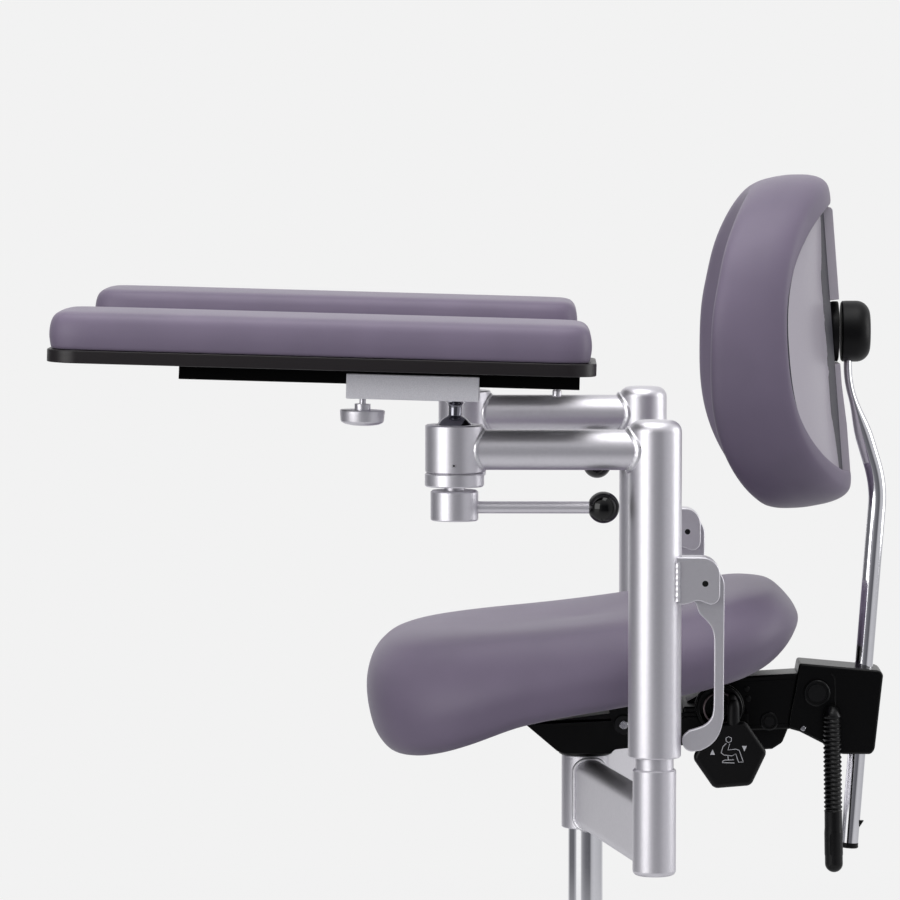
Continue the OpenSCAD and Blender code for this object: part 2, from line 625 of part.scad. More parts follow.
// Rear bracket: two cheeks outside the back arm and a box around the bar's guide
// Places are measured from the pivot: forward and back in Y, up and down in Z
bracket_front = 19;
bracket_back = 64.5;
bracket_top = 34;
bracket_fall = 10;
bracket_under = 61.5;
bracket_foot = 24.5;
bracket_toe = 28;
bracket_toe_drop = 39;
bracket_toe_rise = 12;
bracket_lean = 7;
bracket_scoop = 11;
bracket_edge = 3;
bar_back = 46.4;
stub_y = 13.5;
stub_drop = 20;
stub_d = 9;
function from_pivot(y, z) = [back_pivot_y + y, back_pivot_z + z];
function bar_y(z) = back_pivot_y + bar_back + (z - back_pivot_z) * tan(bar_lean);
module along_bar(from, length) translate([0, bar_y(from), from]) rotate([-bar_lean, 0, 0])
    linear_extrude(length) children();
module rear_bracket() color(black_steel) difference() {
    union() {
        difference() {
            along_x([from_pivot(-bracket_front, bracket_top),
                from_pivot(bracket_back, bracket_top - bracket_fall),
                from_pivot(bracket_back - bracket_lean, -bracket_under),
                from_pivot(bracket_foot, -bracket_under),
                from_pivot(bracket_foot - bracket_scoop, -bracket_under + bracket_lean),
                from_pivot(bracket_scoop - bracket_toe, -bracket_toe_drop),
                from_pivot(-bracket_toe, bracket_edge - bracket_toe_drop),
                from_pivot(-bracket_toe, bracket_toe_rise - bracket_toe_drop)], bracket_w);
            along_x([from_pivot(-2 * bracket_toe, bracket_top - bracket_wall - overrun),
                from_pivot(-bracket_front, bracket_top - bracket_wall),
                from_pivot(bracket_back - bracket_wall, bracket_top - bracket_fall - bracket_wall),
                from_pivot(bracket_back - bracket_lean - bracket_wall, bracket_wall - bracket_under),
                from_pivot(bracket_foot, bracket_wall - bracket_under),
                from_pivot(bracket_foot, -2 * bracket_under),
                from_pivot(-2 * bracket_toe, -2 * bracket_under)],
                bracket_w - 2 * bracket_wall);
        }
        along_bar(back_pivot_z - bracket_under + bracket_wall / 2,
            bracket_under + bracket_top - bracket_fall - bracket_wall)
            circle(d = bar_d + 2 * bracket_wall);
    }
    along_bar(back_pivot_z - 2 * bracket_under, 4 * bracket_under) circle(d = bar_d + 2 * run_fit);
    translate([0, back_pivot_y, back_pivot_z]) x_rod(bolt_d + 2 * run_fit, -bracket_w, bracket_w);
    translate([0, back_pivot_y + stub_y, back_pivot_z - stub_drop])
        x_rod(stub_d + 2 * run_fit, 0, bracket_w);
}

// Backrest lever: a stub in the bracket's near cheek, a ribbed gaiter and a smooth grip
lever_x = 42;
rib_count = 19;
rib_pitch = 4.5;
rib_depth = 1.5;
rib_shares = [0.3, 0.6];
grip_l = 66.7;
elbow_drop = 5.5;
module back_lever() color(black_plastic) translate([0, back_pivot_y + stub_y, back_pivot_z - stub_drop]) {
    x_rod(stub_d, bracket_w / 2 - bracket_wall - cheek_gap / 2, lever_x);
    translate([lever_x, 0, 0]) sphere(d = grip_d - rib_depth);
    translate([lever_x, 0, -elbow_drop]) mirror([0, 0, 1]) rotate_extrude() polygon(concat(
        [[0, -elbow_drop], [grip_d / 2 - rib_depth, -elbow_drop]],
        [for (i = [0:rib_count - 1]) each [[grip_d / 2 - rib_depth, i * rib_pitch],
            for (share = rib_shares) [grip_d / 2, (i + share) * rib_pitch]]],
        [[grip_d / 2 - rib_depth / 2, rib_count * rib_pitch]],
        [for (p = arc([0, rib_count * rib_pitch + grip_l - grip_d / 2], grip_d / 2, 0, 90, 6)) p]));
}

// Back bar: straight through the bracket, a bend, and a flattened top that stands in the back joint
bar_foot_z = back_pivot_z - 156.5;
bend_z = joint_z - 152.6;
bend_r = 120;
bend_swell = 0.05;
knee_y = 260.3;
knee_z = joint_z - 49.6;
flat_from_z = joint_z - 71;
flat_t = 8.5;
flat_w = 20;
bar_low = [bar_y(bar_foot_z), bar_foot_z];
bar_bend = [bar_y(bend_z), bend_z];
bar_knee = [knee_y, knee_z];
bar_flat = toward(bar_knee, bar_bend, (knee_z - flat_from_z) / cos(lean(bar_bend, bar_knee)));
function lean(a, b) = atan2(b[0] - a[0], b[1] - a[1]);
function toward(a, b, distance) = a + distance * (b - a) / norm(b - a);
module on_line(a, b) translate([0, a[0], a[1]]) rotate([-lean(a, b), 0, 0]) children();
module back_bar() color(chrome) {
    turn = lean(bar_low, bar_bend) - lean(bar_bend, bar_knee);
    a = toward(bar_bend, bar_low, bend_r * tan(turn / 2));
    b = toward(bar_bend, bar_knee, bend_r * tan(turn / 2));
    top = joint_z - lug_r - lug_room - cap_floor;
    half = bar_d / 2 / cos(lean(bar_bend, bar_knee));
    on_line(bar_low, bar_bend) cylinder(d = bar_d, h = norm(a - bar_low) + overrun);
    on_line(a, bar_bend) translate([0, -bend_r, 0]) rotate([90, 0, 90])
        rotate_extrude(angle = turn) translate([bend_r, 0]) circle(d = bar_d + 2 * bend_swell);
    intersection() {
        union() {
            on_line(b, bar_knee) translate([0, 0, -overrun])
                cylinder(d = bar_d, h = norm(bar_knee - b) + overrun);
            translate([0, knee_y, knee_z - flat_t]) cylinder(d = flat_w, h = top - knee_z + flat_t);
        }
        along_x([b - [bar_d, bar_d], bar_flat - [half, 0], bar_knee - [flat_t / 2, 0],
            [knee_y - flat_t / 2, top], [knee_y + flat_t / 2, top],
            bar_knee + [flat_t / 2, 0], bar_flat + [half, 0], b + [bar_d, -bar_d]],
            flat_w + 2 * overrun);
    }
}

// Back joint: the cap sits on the bar, and the base on the shell turns in it on a pin
cap_wall = 3;
cap_floor = 1.4;
cap_depth = 29;
cap_round = 14;
joint_gap = 2.7;
base_t = 8.7;
base_edge = 4;
base_sunk = 1.5;
base_room = 4;
joint_pin_back = 5.7;
joint_pin_d = 8;
joint_pin_half = 24;
lug_r = 9;
lug_w = 18;
lug_room = 1.6;
cap_y = knee_y - flat_t / 2 - cap_wall;
joint_base_y = cap_y - joint_gap;
shell_y = joint_base_y - base_t;
module at_joint() translate([0, knee_y + joint_pin_back, joint_z]) children();
module joint_cap() color(black_plastic) difference() {
    translate([0, cap_y, joint_z]) rotate([-90, 0, 0]) rotate_extrude()
        polygon(concat([[0, 0], [joint_d / 2, 0]],
        arc([joint_d / 2 - cap_round, cap_depth - cap_round], cap_round, 0, 90, 6), [[0, cap_depth]]));
    translate([-lug_w / 2 - gap, cap_y - overrun, joint_z - lug_r - lug_room])
        cube([lug_w + 2 * gap, overrun + cap_wall + flat_t / 2 + joint_pin_back + lug_r + gap,
            2 * (lug_r + lug_room)]);
    translate([-flat_w / 2 - run_fit, knee_y - flat_t / 2 - run_fit, joint_z - joint_d])
        cube([flat_w + 2 * run_fit, flat_t + 2 * run_fit, joint_d - lug_r - lug_room - cap_floor + run_fit]);
    at_joint() x_rod(joint_pin_d + 2 * run_fit, -joint_d, joint_pin_half + gap);
}
module joint_base() color(black_plastic) {
    intersection() {
        translate([0, joint_base_y, joint_z]) rotate([90, 0, 0]) rotate_extrude() polygon(concat(
            [[0, 0], [joint_d / 2, 0]],
            arc([joint_d / 2 - base_edge, base_t - base_edge], base_edge, 0, 75, 5),
            [[joint_d / 2 - base_edge, 2 * base_t], [0, 2 * base_t]]));
        on_shell() translate([0, -base_sunk, 0]) rotate([-90, 0, 0]) cylinder(d = 2 * joint_d, h = joint_d);
    }
    translate([-lug_w / 2, joint_base_y - base_t / 2, joint_z - lug_r])
        cube([lug_w, base_t / 2 + knee_y + joint_pin_back - joint_base_y, 2 * lug_r]);
    at_joint() x_rod(2 * lug_r, -lug_w / 2, lug_w / 2);
    at_joint() x_rod(joint_pin_d, -joint_pin_half, joint_pin_half);
}

// Backrest: the shell carries a raised spine behind, and sits in a pocket of the cushion
// Each place is a reach from the middle and a depth from the front of the cushion to its rear
back_lean = 4.5;
back_power = 2.5;
back_sides = 44;
shell_sag = 2;
shell_reach_share = [0.95, 0.8];
shell_inner_shares = [0.8, 0.4];
shell_edge = 2;
shell_room = 1.2;
spine_w = 64;
spine_h = 12.3;
spine_end = 1;
spine_top_shares = [[0, -0.5], [0, 1], [0.98, 1], [1, 0.85], [1, -0.5]];
spine_low_shares = [[0, -0.5], [0, 0.6], [0.36, 0.6], [0.64, 0.82], [0.98, 0.82], [1, 0.7], [1, -0.5]];
back_form_shares = [[0.3, 0.3, 0.05], [0.62, 0.62, 0.035], [0.84, 0.84, 0.01], [0.915, 0.91, 0.015],
    [0.95, 0.945, 0.05], [0.977, 0.968, 0.12], [0.992, 0.987, 0.24], [1, 1, 0.45], [1, 0.997, 0.62],
    [0.995, 0.98, 0.78], [0.985, 0.945, 0.91], [0.972, 0.9, 0.98], [0.96, 0.85, 1]];
module on_shell() translate([0, shell_y, joint_z]) rotate([back_lean, 0, 0]) children();
function back_point(angle, reach, offset, hollow) =
    let (s = squircle(angle, back_power), x = s[0] * reach[0] * back_w / 2)
    [x, offset - hollow * pow(2 * x / back_w, 2), s[1] * reach[1] * back_h / 2 - back_under];
function back_ring(reach, offset, hollow) =
    [for (i = [0:back_sides - 1]) back_point(-i * 360 / back_sides, reach, offset, hollow)];
function shell_ring(share, offset) =
    back_ring(share * shell_reach_share, offset, back_hollow + shell_sag);
function cushion_ring(form) = back_ring([form[0], form[1]],
    form[2] * spine_h - (1 - form[2]) * (back_t + shell_sag),
    back_hollow + (shell_sag + spine_h) * form[2]);
module spine(shares, length) along_x([for (s = shares) [s[1] * spine_h, s[0] * length]], spine_w);
module back_shell() color(shell_grey) on_shell() difference() {
    union() {
        loft(concat([for (i = [len(shell_inner_shares) - 1:-1:0])
            shell_ring(shell_inner_shares[i], -shell_t)],
            [shell_ring(1, -shell_t), shell_ring(1, -shell_edge), shell_ring(1 - shell_edge / back_w, 0)],
            [for (share = shell_inner_shares) shell_ring(share, 0)]));
        spine(spine_top_shares, shell_reach_share[1] * back_h / 2 - back_under - spine_end);
        mirror([0, 0, 1])
            spine(spine_low_shares, shell_reach_share[1] * back_h / 2 + back_under - spine_end);
    }
    translate([0, -base_sunk, 0]) rotate([-90, 0, 0]) cylinder(d = joint_d + 2 * base_room, h = joint_d);
}
module back_cushion() color(leatherette) on_shell()
    loft(concat([for (form = back_form_shares) cushion_ring(form)],
    [shell_ring(1 + 2 * shell_room / back_h, 0),
     shell_ring(1 + 2 * shell_room / back_h, -shell_t - shell_room)],
    [for (share = shell_inner_shares) shell_ring(share, -shell_t - shell_room)]));

// Armrest: every piece stands around the left post's axis, and is mirrored for the right
module left() translate([post_x, post_y, 0]) children();
module right() mirror([1, 0, 0]) translate([post_x, post_y, 0]) children();
module at_ball() translate([0, -reach, ball_z]) children();
module pitched(shift = 0) at_ball() rotate([-pad_pitch, 0, 0]) translate([0, -shift, 0]) children();

// Arm: sleeve, arm tube, ball housing and lock bracket, welded
sleeve_round = 11;
sleeve_roof = 6;
housing_over = 9.6;
housing_edge = 1.2;
seat_wall = 1.55;
arm_tube_wall = 4;
lock_w = 28;
lock_out = 60.8;
lock_z = 615.4;
lock_h = 44.6;
lock_round = 17;
lock_foot_round = 9;
lock_arch = 4;
slot_w = 10;
slot_roof = 5;
lock_pin_d = 5.5;
lock_pin_y = 47.5;
lock_pin_rise = 17.3;
seat_r = ball_d / 2 + seat_wall;
housing_z = ball_z + housing_over - housing_h;
module sleeve() rotate_extrude() polygon(concat([[0, 0], [sleeve_d / 2, 0]],
    arc([sleeve_d / 2 - sleeve_round, sleeve_h - sleeve_round], sleeve_round, 0, 90, 6), [[0, sleeve_h]]));
module edged_disc(d, h, edge) rotate_extrude() polygon([[0, 0], [d / 2 - edge, 0], [d / 2, edge],
    [d / 2, h - edge], [d / 2 - edge, h], [0, h]]);
module lock_bracket() translate([0, 0, lock_z]) along_x(concat([[0, lock_h]],
    arc([lock_out - lock_round, lock_h - lock_round], lock_round, 90, 0, 6),
    arc([lock_out - lock_foot_round, lock_foot_round], lock_foot_round, 0, -90, 4),
    [[(lock_out + sleeve_d / 2) / 2, lock_arch], [sleeve_d / 2, 0], [0, 0]]), lock_w);
module lock_slot() translate([0, 0, lock_z]) along_x([[sleeve_d / 2, lock_h - slot_roof],
    [lock_out + overrun, lock_h - slot_roof], [lock_out + overrun, -overrun], [sleeve_d / 2, -overrun]],
    slot_w);
module arm() color(aluminium) difference() {
    union() {
        translate([0, 0, sleeve_z]) sleeve();
        translate([0, 0, arm_z]) rotate([90, 0, 0]) cylinder(d = arm_d, h = reach);
        translate([0, -reach, housing_z]) edged_disc(housing_d, housing_h, housing_edge);
        lock_bracket();
    }
    translate([0, 0, sleeve_z - overrun])
        cylinder(d = sleeve_d - 2 * sleeve_wall, h = sleeve_h - sleeve_roof + overrun);
    translate([0, 0, arm_z]) rotate([90, 0, 0])
        cylinder(d = arm_d - 2 * arm_tube_wall, h = reach - housing_d / 2);
    at_ball() sphere(r = seat_r + run_fit);
    at_ball() mirror([0, 0, 1]) cylinder(r = seat_r + run_fit, h = housing_h);
    lock_slot();
    translate([0, lock_pin_y, lock_z + lock_pin_rise]) x_rod(lock_pin_d + 2 * run_fit, -lock_w, lock_w);
}

// Post bushes: two rings that the sleeve turns on, and that slide on the post
post_bush_z = 2;
post_bush_h = 40;
post_bush_step = 88;
module post_bushes() color(black_plastic) for (i = [0:1])
    translate([0, 0, sleeve_z + post_bush_z + i * post_bush_step])
        tube(sleeve_d - 2 * sleeve_wall - 2 * run_fit, post_d + 2 * run_fit, post_bush_h);

// Lock lever: a cam head on its pin, a straight grip and a rolled end, outlined from the pin
cam_r = 18;
lock_lever_w = 9;
lever_front = 9;
lever_neck = 46;
lever_straight = 126;
lever_bulb_y = -11.5;
lever_bulb_drop = 149;
lever_bulb_r = 10;
module lock_lever() color(aluminium) translate([0, lock_pin_y, lock_z + lock_pin_rise]) {
    along_x(concat(arc([0, 0], cam_r, 0, 220, 16),
        arc([lever_front - cam_r, -lever_neck], cam_r, 55, 0, 6),
        arc([lever_front - cam_r, -lever_straight], cam_r, 0, -50, 5),
        arc([lever_bulb_y, -lever_bulb_drop], lever_bulb_r, 80, 250, 10),
        arc([cam_r - 2 * cam_r, -lever_straight], 2 * cam_r, -70, 0, 8)), lock_lever_w);
    x_rod(lock_pin_d, -lock_w / 2, lock_w / 2);
}

// Ball clamp: ring and two seats around the ball, and the stud that carries the slide block
ring_lip = 0.4;
screw_d = 20;
spigot_h = 8.4;
cup_rim = 7;
cup_foot_r = 15;
cup_foot = 3.5;
collar_low = 1;
collar_top = 9;
stud_neck_d = 12.3;
stud_flare_d = 23.4;
stud_flare_h = 6;
stud_lip = 1;
stud_spigot_d = 12;
stud_spigot_h = 8;
cup_depth = ball_d / 2 + cup_foot;
module clamp_ring() color(aluminium) translate([0, -reach, housing_z - ring_h]) difference() {
    union() {
        edged_disc(housing_d + 2 * ring_lip, ring_h, housing_edge);
        cylinder(r = seat_r, h = ring_h + spigot_h);
    }
    translate([0, 0, -overrun]) cylinder(d = screw_d + 2 * run_fit, h = ring_h + spigot_h + 2 * overrun);
}
module lower_seat() color(black_plastic) at_ball() difference() {
    intersection() {
        union() {
            sphere(r = seat_r);
            translate([0, 0, -cup_depth]) cylinder(r = cup_foot_r, h = cup_depth - cup_rim);
        }
        translate([0, 0, -cup_depth]) cylinder(r = seat_r + overrun, h = cup_depth - cup_rim);
    }
    sphere(r = ball_d / 2 + run_fit);
}
module upper_seat() color(black_plastic) at_ball() difference() {
    intersection() {
        sphere(r = seat_r);
        translate([0, 0, collar_low]) cylinder(r = seat_r + overrun, h = collar_top - collar_low);
    }
    sphere(r = ball_d / 2 + run_fit);
}
module ball_stud() color(chrome) pitched() {
    sphere(d = ball_d);
    rotate_extrude() polygon(concat([[0, 0], [stud_neck_d / 2, 0]],
        [for (p = arc([stud_flare_d / 2, block_rise - stud_lip - stud_flare_h],
            (stud_flare_d - stud_neck_d) / 2, 180, 90, 5)) p],
        [[stud_flare_d / 2, block_rise - stud_lip], [stud_flare_d / 2, block_rise],
         [stud_spigot_d / 2, block_rise],
         [stud_spigot_d / 2, block_rise + stud_spigot_h], [0, block_rise + stud_spigot_h]]));
}

// Clamp handle: hub, screw and rod, with a ball knob on the rod
handle_rise = 12.4;
knob_flat = 13.5;
knob_bore = 3;
clamp_z = housing_z - ring_h - clamp_gap - clamp_h;
module clamp_handle() color(aluminium) translate([0, -reach, clamp_z]) {
    edged_disc(clamp_d, clamp_h, housing_edge);
    cylinder(d = screw_d, h = ball_z - cup_depth - gap - clamp_z);
    translate([0, 0, handle_rise]) rotate([-90, 0, 0])
        cylinder(d = handle_d, h = handle_l + knob_bore - gap);
}
module clamp_knob() color(black_plastic) translate([0, handle_l - reach, clamp_z + handle_rise])
    rotate([-90, 0, 0])
    rotate_extrude() polygon(concat([[0, knob_bore], [handle_d / 2 + run_fit, knob_bore],
        [handle_d / 2 + run_fit, -knob_flat]],
        arc([0, 0], knob_d / 2, -asin(2 * knob_flat / knob_d), 90, 16)));

// Slide block, with a dovetail channel for the rail, a bore for the stud and one for the thumb screw
block_rear = 22.3;
block_round = 4;
rail_sunk = 10.1;
rail_taper = 3.4;
rail_fit = 0.1;
rail_rear = 116;
thumb_inset = 14.7;
thumb_drop = 12.1;
thumb_h = 14;
thumb_crown = 2;
thumb_boss_d = 15;
thumb_boss_h = 5.7;
thumb_stud_d = 6;
stop_d = 8.5;
stop_h = 8;
stop_inset = 21;
rail_z = block_rise + block_h - rail_sunk;
thumb_y = block_rear - block_l + thumb_inset;
module along_y(from, to) translate([0, to, 0]) rotate([90, 0, 0]) linear_extrude(to - from) children();
module rail_section(grow) translate([0, rail_z])
    polygon([[-rail_w / 2 - grow, -grow], [rail_w / 2 + grow, -grow],
    [rail_w / 2 - rail_taper + grow, rail_h + grow], [rail_taper - rail_w / 2 - grow, rail_h + grow]]);
module slide_block() color(aluminium) pitched() difference() {
    translate([0, block_rear - block_l / 2, block_rise]) linear_extrude(block_h)
        polygon(round_box(block_w, block_l, block_round));
    along_y(block_rear - block_l - overrun, block_rear + overrun) rail_section(rail_fit);
    translate([0, 0, block_rise - overrun])
        cylinder(d = stud_spigot_d + 2 * run_fit, h = stud_spigot_h + overrun);
    translate([0, thumb_y, block_rise - overrun]) cylinder(d = thumb_stud_d + 2 * run_fit, h = block_h);
}
module thumb_screw() color(aluminium) pitched() translate([0, thumb_y, 0]) {
    translate([0, 0, block_rise - thumb_drop - thumb_h]) rotate_extrude() polygon(concat([[0, 0],
        [thumb_d / 2 - 2 * thumb_crown, 0]],
        arc([thumb_d / 2 - thumb_crown, thumb_crown], thumb_crown, -60, 0, 4),
        [[thumb_d / 2, thumb_h - housing_edge], [thumb_d / 2 - housing_edge, thumb_h], [0, thumb_h]]));
    translate([0, 0, block_rise - thumb_drop]) cylinder(d = thumb_boss_d, h = thumb_boss_h);
    translate([0, 0, block_rise - thumb_drop])
        cylinder(d = thumb_stud_d, h = rail_z - gap - block_rise + thumb_drop);
}

// Pad: rail with its stop screw, board and cushion, all one carriage that slides on the block
pad_shares = [[1, 0], [0.35, 0.06], [0, 0.18], [0, 0.5], [0.12, 0.66], [0.36, 0.79], [0.8, 0.9],
    [1.6, 0.97], [2.6, 1]];
pad_round = 16;
pad_tuck = 2.5;
pad_tuck_share = 0.2;
pad_corner_least = 2;
pad_z = rail_z + rail_h + board_t + gap;
function pad_in(share, rise) = share * (rise < pad_tuck_share ? pad_tuck : pad_round);
function pad_ring(share, rise) =
    let (in = pad_inset + pad_in(share, rise))
    [for (p = round_box(board_w - 2 * in, board_l - 2 * in, max(board_corner - in, pad_corner_least)))
        [p[0], p[1] + board_rear - board_l / 2, pad_z + rise * pad_t]];
module pad_rail(shift) color(black_steel) pitched(shift) {
    along_y(rail_rear - rail_l, rail_rear) rail_section(0);
    translate([0, rail_rear - stop_inset, rail_z - stop_h]) cylinder(d = stop_d, h = stop_h + rail_h / 2);
}
module pad_board(shift) color(black_plastic) pitched(shift)
    translate([0, board_rear - board_l / 2, rail_z + rail_h]) linear_extrude(board_t)
        polygon(round_box(board_w, board_l, board_corner, 8));
module pad(shift) color(leatherette) pitched(shift) loft([for (s = pad_shares) pad_ring(s[0], s[1])]);

module left_arm() left() arm();
module left_post_bushes() left() post_bushes();
module left_lock_lever() left() lock_lever();
module left_clamp_ring() left() clamp_ring();
module left_lower_seat() left() lower_seat();
module left_upper_seat() left() upper_seat();
module left_ball_stud() left() ball_stud();
module left_slide_block() left() slide_block();
module left_thumb_screw() left() thumb_screw();
module left_clamp_handle() left() clamp_handle();
module left_clamp_knob() left() clamp_knob();
module left_pad_rail() left() pad_rail(0);
module left_pad_board() left() pad_board(0);
module left_pad() left() pad(0);
module right_arm() right() arm();
module right_post_bushes() right() post_bushes();
module right_lock_lever() right() lock_lever();
module right_clamp_ring() right() clamp_ring();
module right_lower_seat() right() lower_seat();
module right_upper_seat() right() upper_seat();
module right_ball_stud() right() ball_stud();
module right_slide_block() right() slide_block();
module right_thumb_screw() right() thumb_screw();
module right_clamp_handle() right() clamp_handle();
module right_clamp_knob() right() clamp_knob();
module right_pad_rail() right() pad_rail(right_pad_shift);
module right_pad_board() right() pad_board(right_pad_shift);
module right_pad() right() pad(right_pad_shift);

star_base();
stand_tube();
column_bush();
gas_rod();
lift_column();
valve_pin();
castor_1_hood();
castor_2_hood();
castor_3_hood();
castor_4_hood();
castor_5_hood();
castor_1_wheels();
castor_2_wheels();
castor_3_wheels();
castor_4_wheels();
castor_5_wheels();
carrier();
mechanism_pan();
mechanism_pins();
back_arm();
height_lever();
tilt_paddle();
seat_plate();
seat_board();
seat_cushion();
rear_bracket();
back_lever();
back_bar();
joint_cap();
joint_base();
back_shell();
back_cushion();
left_arm();
left_post_bushes();
left_lock_lever();
left_clamp_ring();
left_lower_seat();
left_upper_seat();
left_ball_stud();
left_slide_block();
left_thumb_screw();
left_clamp_handle();
left_clamp_knob();
left_pad_rail();
left_pad_board();
left_pad();
right_arm();
right_post_bushes();
right_lock_lever();
right_clamp_ring();
right_lower_seat();
right_upper_seat();
right_ball_stud();
right_slide_block();
right_thumb_screw();
right_clamp_handle();
right_clamp_knob();
right_pad_rail();
right_pad_board();
right_pad();
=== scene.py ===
# Operating stool with two armrests on clamped ball joints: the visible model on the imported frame.
# Metres, in the frame's own axes: the floor under the lift column is the origin, +Z is up, -Y is
# the front and +X the sitter's left. The sections' sizes are in millimetres: w, l, h, t and r are
# width, length, height, thickness and radius, and mm() turns them to metres.
from math import asin, atan2, cos, degrees, hypot, pi, radians, sin, sqrt, tan, tau
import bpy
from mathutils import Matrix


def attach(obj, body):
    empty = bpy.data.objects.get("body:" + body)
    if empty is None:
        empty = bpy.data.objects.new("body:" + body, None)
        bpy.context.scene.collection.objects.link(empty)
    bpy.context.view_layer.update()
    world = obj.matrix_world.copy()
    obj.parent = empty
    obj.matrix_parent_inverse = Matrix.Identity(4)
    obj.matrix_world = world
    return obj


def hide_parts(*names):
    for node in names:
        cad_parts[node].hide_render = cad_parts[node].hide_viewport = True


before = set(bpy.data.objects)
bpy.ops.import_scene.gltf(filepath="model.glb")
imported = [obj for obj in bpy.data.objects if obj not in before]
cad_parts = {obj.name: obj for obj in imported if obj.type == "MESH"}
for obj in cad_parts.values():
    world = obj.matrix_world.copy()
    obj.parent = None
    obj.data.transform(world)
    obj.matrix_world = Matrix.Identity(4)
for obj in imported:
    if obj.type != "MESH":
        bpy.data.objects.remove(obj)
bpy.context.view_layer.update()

from types import SimpleNamespace as Sizes

import bmesh
import bpy
from mathutils import Matrix, Vector

MM = 0.001

# Camera. It stands level with the seated user's chest, five metres to the left, behind a long
# lens, so the near armrest nearly hides the far one and upright tubes stay parallel.
scene = bpy.context.scene


def aimed(name, data, place, faces):
    """A camera or a lamp that stands in one place and faces another."""
    made = bpy.data.objects.new(name, data)
    made.location = place
    made.rotation_euler = (Vector(faces) - Vector(place)).to_track_quat("-Z", "Y").to_euler()
    scene.collection.objects.link(made)
    return made


camera = aimed("camera", bpy.data.cameras.new("camera"), (5.081, -0.0407, 1.0728), (0, -0.1358, 0.74))
camera.data.sensor_width = 36
camera.data.lens = 204.1
scene.camera = camera
scene.view_settings.view_transform = "Standard"


# Studio. A pale sweep of paper lies under and behind the stool, and the room before it is dim. A
# wide softbox hangs overhead and a broad one stands before the sitter, so polished tubes carry a
# white stripe, a dark one and a grey one.
def paint(colour):
    """An sRGB hex colour as linear red, green, blue and alpha."""
    parts = [int(colour[i:i + 2], 16) / 255 for i in (0, 2, 4)]
    return [p / 12.92 if p <= 0.04045 else ((p + 0.055) / 1.055) ** 2.4 for p in parts] + [1]


def add(tree, kind, inputs=None, **settings):
    """Adds a node with its settings, and gives each named input its value or its link."""
    made = tree.nodes.new(kind)
    for name, value in settings.items():
        setattr(made, name, value)
    for name, value in (inputs or {}).items():
        if isinstance(value, bpy.types.NodeSocket):
            tree.links.new(value, made.inputs[name])
        else:
            made.inputs[name].default_value = value
    return made


def blend(tree, share, one, other):
    return add(tree, "ShaderNodeMix", {0: share, 6: one, 7: other}, data_type="RGBA").outputs[2]


def maths(tree, operation, one, other):
    return add(tree, "ShaderNodeMath", {0: one, 1: other}, operation=operation).outputs[0]


def ranged(tree, value, start, stop, low=0.0, high=1.0):
    """Maps a value between start and stop to one between low and high."""
    return add(tree, "ShaderNodeMapRange", {"Value": value, "From Min": start, "From Max": stop,
                                            "To Min": low, "To Max": high}).outputs[0]


def seen_rays(tree):
    """1 for the rays that show the paper itself: straight, mirrored or passed through."""
    path = add(tree, "ShaderNodeLightPath").outputs
    both = maths(tree, "MAXIMUM", path["Is Camera Ray"], path["Is Glossy Ray"])
    return maths(tree, "MAXIMUM", both, path["Is Transmission Ray"])


def panorama(tree, heading):
    """What polished metal mirrors in each direction round the stool: grey walls and pale paper."""
    parts = add(tree, "ShaderNodeSeparateXYZ", {0: heading}).outputs
    bearing = maths(tree, "ARCTAN2", parts["Y"], parts["X"])
    ramp = add(tree, "ShaderNodeValToRGB", {0: ranged(tree, bearing, -pi, pi)})
    stops = ramp.color_ramp.elements
    while len(stops) < len(walls):
        stops.new(0.5)
    for stop, (angle, colour) in zip(stops, walls):
        stop.position, stop.color = angle / 360 + 0.5, paint(colour)
    return ramp.outputs[0]


paper = paint("f2f2f2")
walls = [  # degrees from the stool's left, and what stands there
    (-180, "f2f2f2"), (-146, "dcdcde"), (-126, "6c6c70"), (-84, "66666b"), (-66, "b2b2b6"),
    (-60, "ffffff"), (-33, "ffffff"), (-25, "a2a2a6"), (-8, "707075"), (28, "5a5a5f"),
    (42, "b6b6ba"), (58, "c4c4c8"), (128, "b2b2b6"), (146, "dcdcde"), (180, "f2f2f2")]
world = bpy.data.worlds.new("studio")
world.use_nodes = True
scene.world = world
air = world.node_tree
air.nodes.clear()
heading = add(air, "ShaderNodeTexCoord").outputs["Generated"]
upward = add(air, "ShaderNodeSeparateXYZ", {0: heading}).outputs["Z"]
mirrored = blend(air, ranged(air, upward, 0.25, 0.8), panorama(air, heading), paint("e2e2e4"))
direct = blend(air, add(air, "ShaderNodeLightPath").outputs["Is Camera Ray"], mirrored, paper)
lit = blend(air, seen_rays(air), paint("adadb3"), direct)
add(air, "ShaderNodeOutputWorld", {"Surface": add(air, "ShaderNodeBackground", {"Color": lit}).outputs[0]})

sweep = bpy.data.materials.new("paper_sweep")
sweep.use_nodes = True
sheet = sweep.node_tree
sheet.nodes.clear()
spot = add(sheet, "ShaderNodeTexCoord").outputs["Object"]
away = add(sheet, "ShaderNodeVectorMath", {0: spot}, operation="LENGTH").outputs["Value"]
far = ranged(sheet, away, 0.7, 2.2)
seen_direct = add(sheet, "ShaderNodeLightPath").outputs["Is Camera Ray"]
mirrored = blend(sheet, far, paint("e4e4e6"), panorama(sheet, spot))
matt = add(sheet, "ShaderNodeBsdfDiffuse", {"Color": blend(sheet, seen_direct, paint("8a8a90"), paper)})
glow = add(sheet, "ShaderNodeEmission", {"Color": blend(sheet, seen_direct, mirrored, paper)})
share = maths(sheet, "MULTIPLY", seen_rays(sheet), ranged(sheet, far, 0, 1, 0.8, 1))
mixed = add(sheet, "ShaderNodeMixShader", {0: share, 1: matt.outputs[0], 2: glow.outputs[0]})
add(sheet, "ShaderNodeOutputMaterial", {"Surface": mixed.outputs[0]})
ground = bmesh.new()
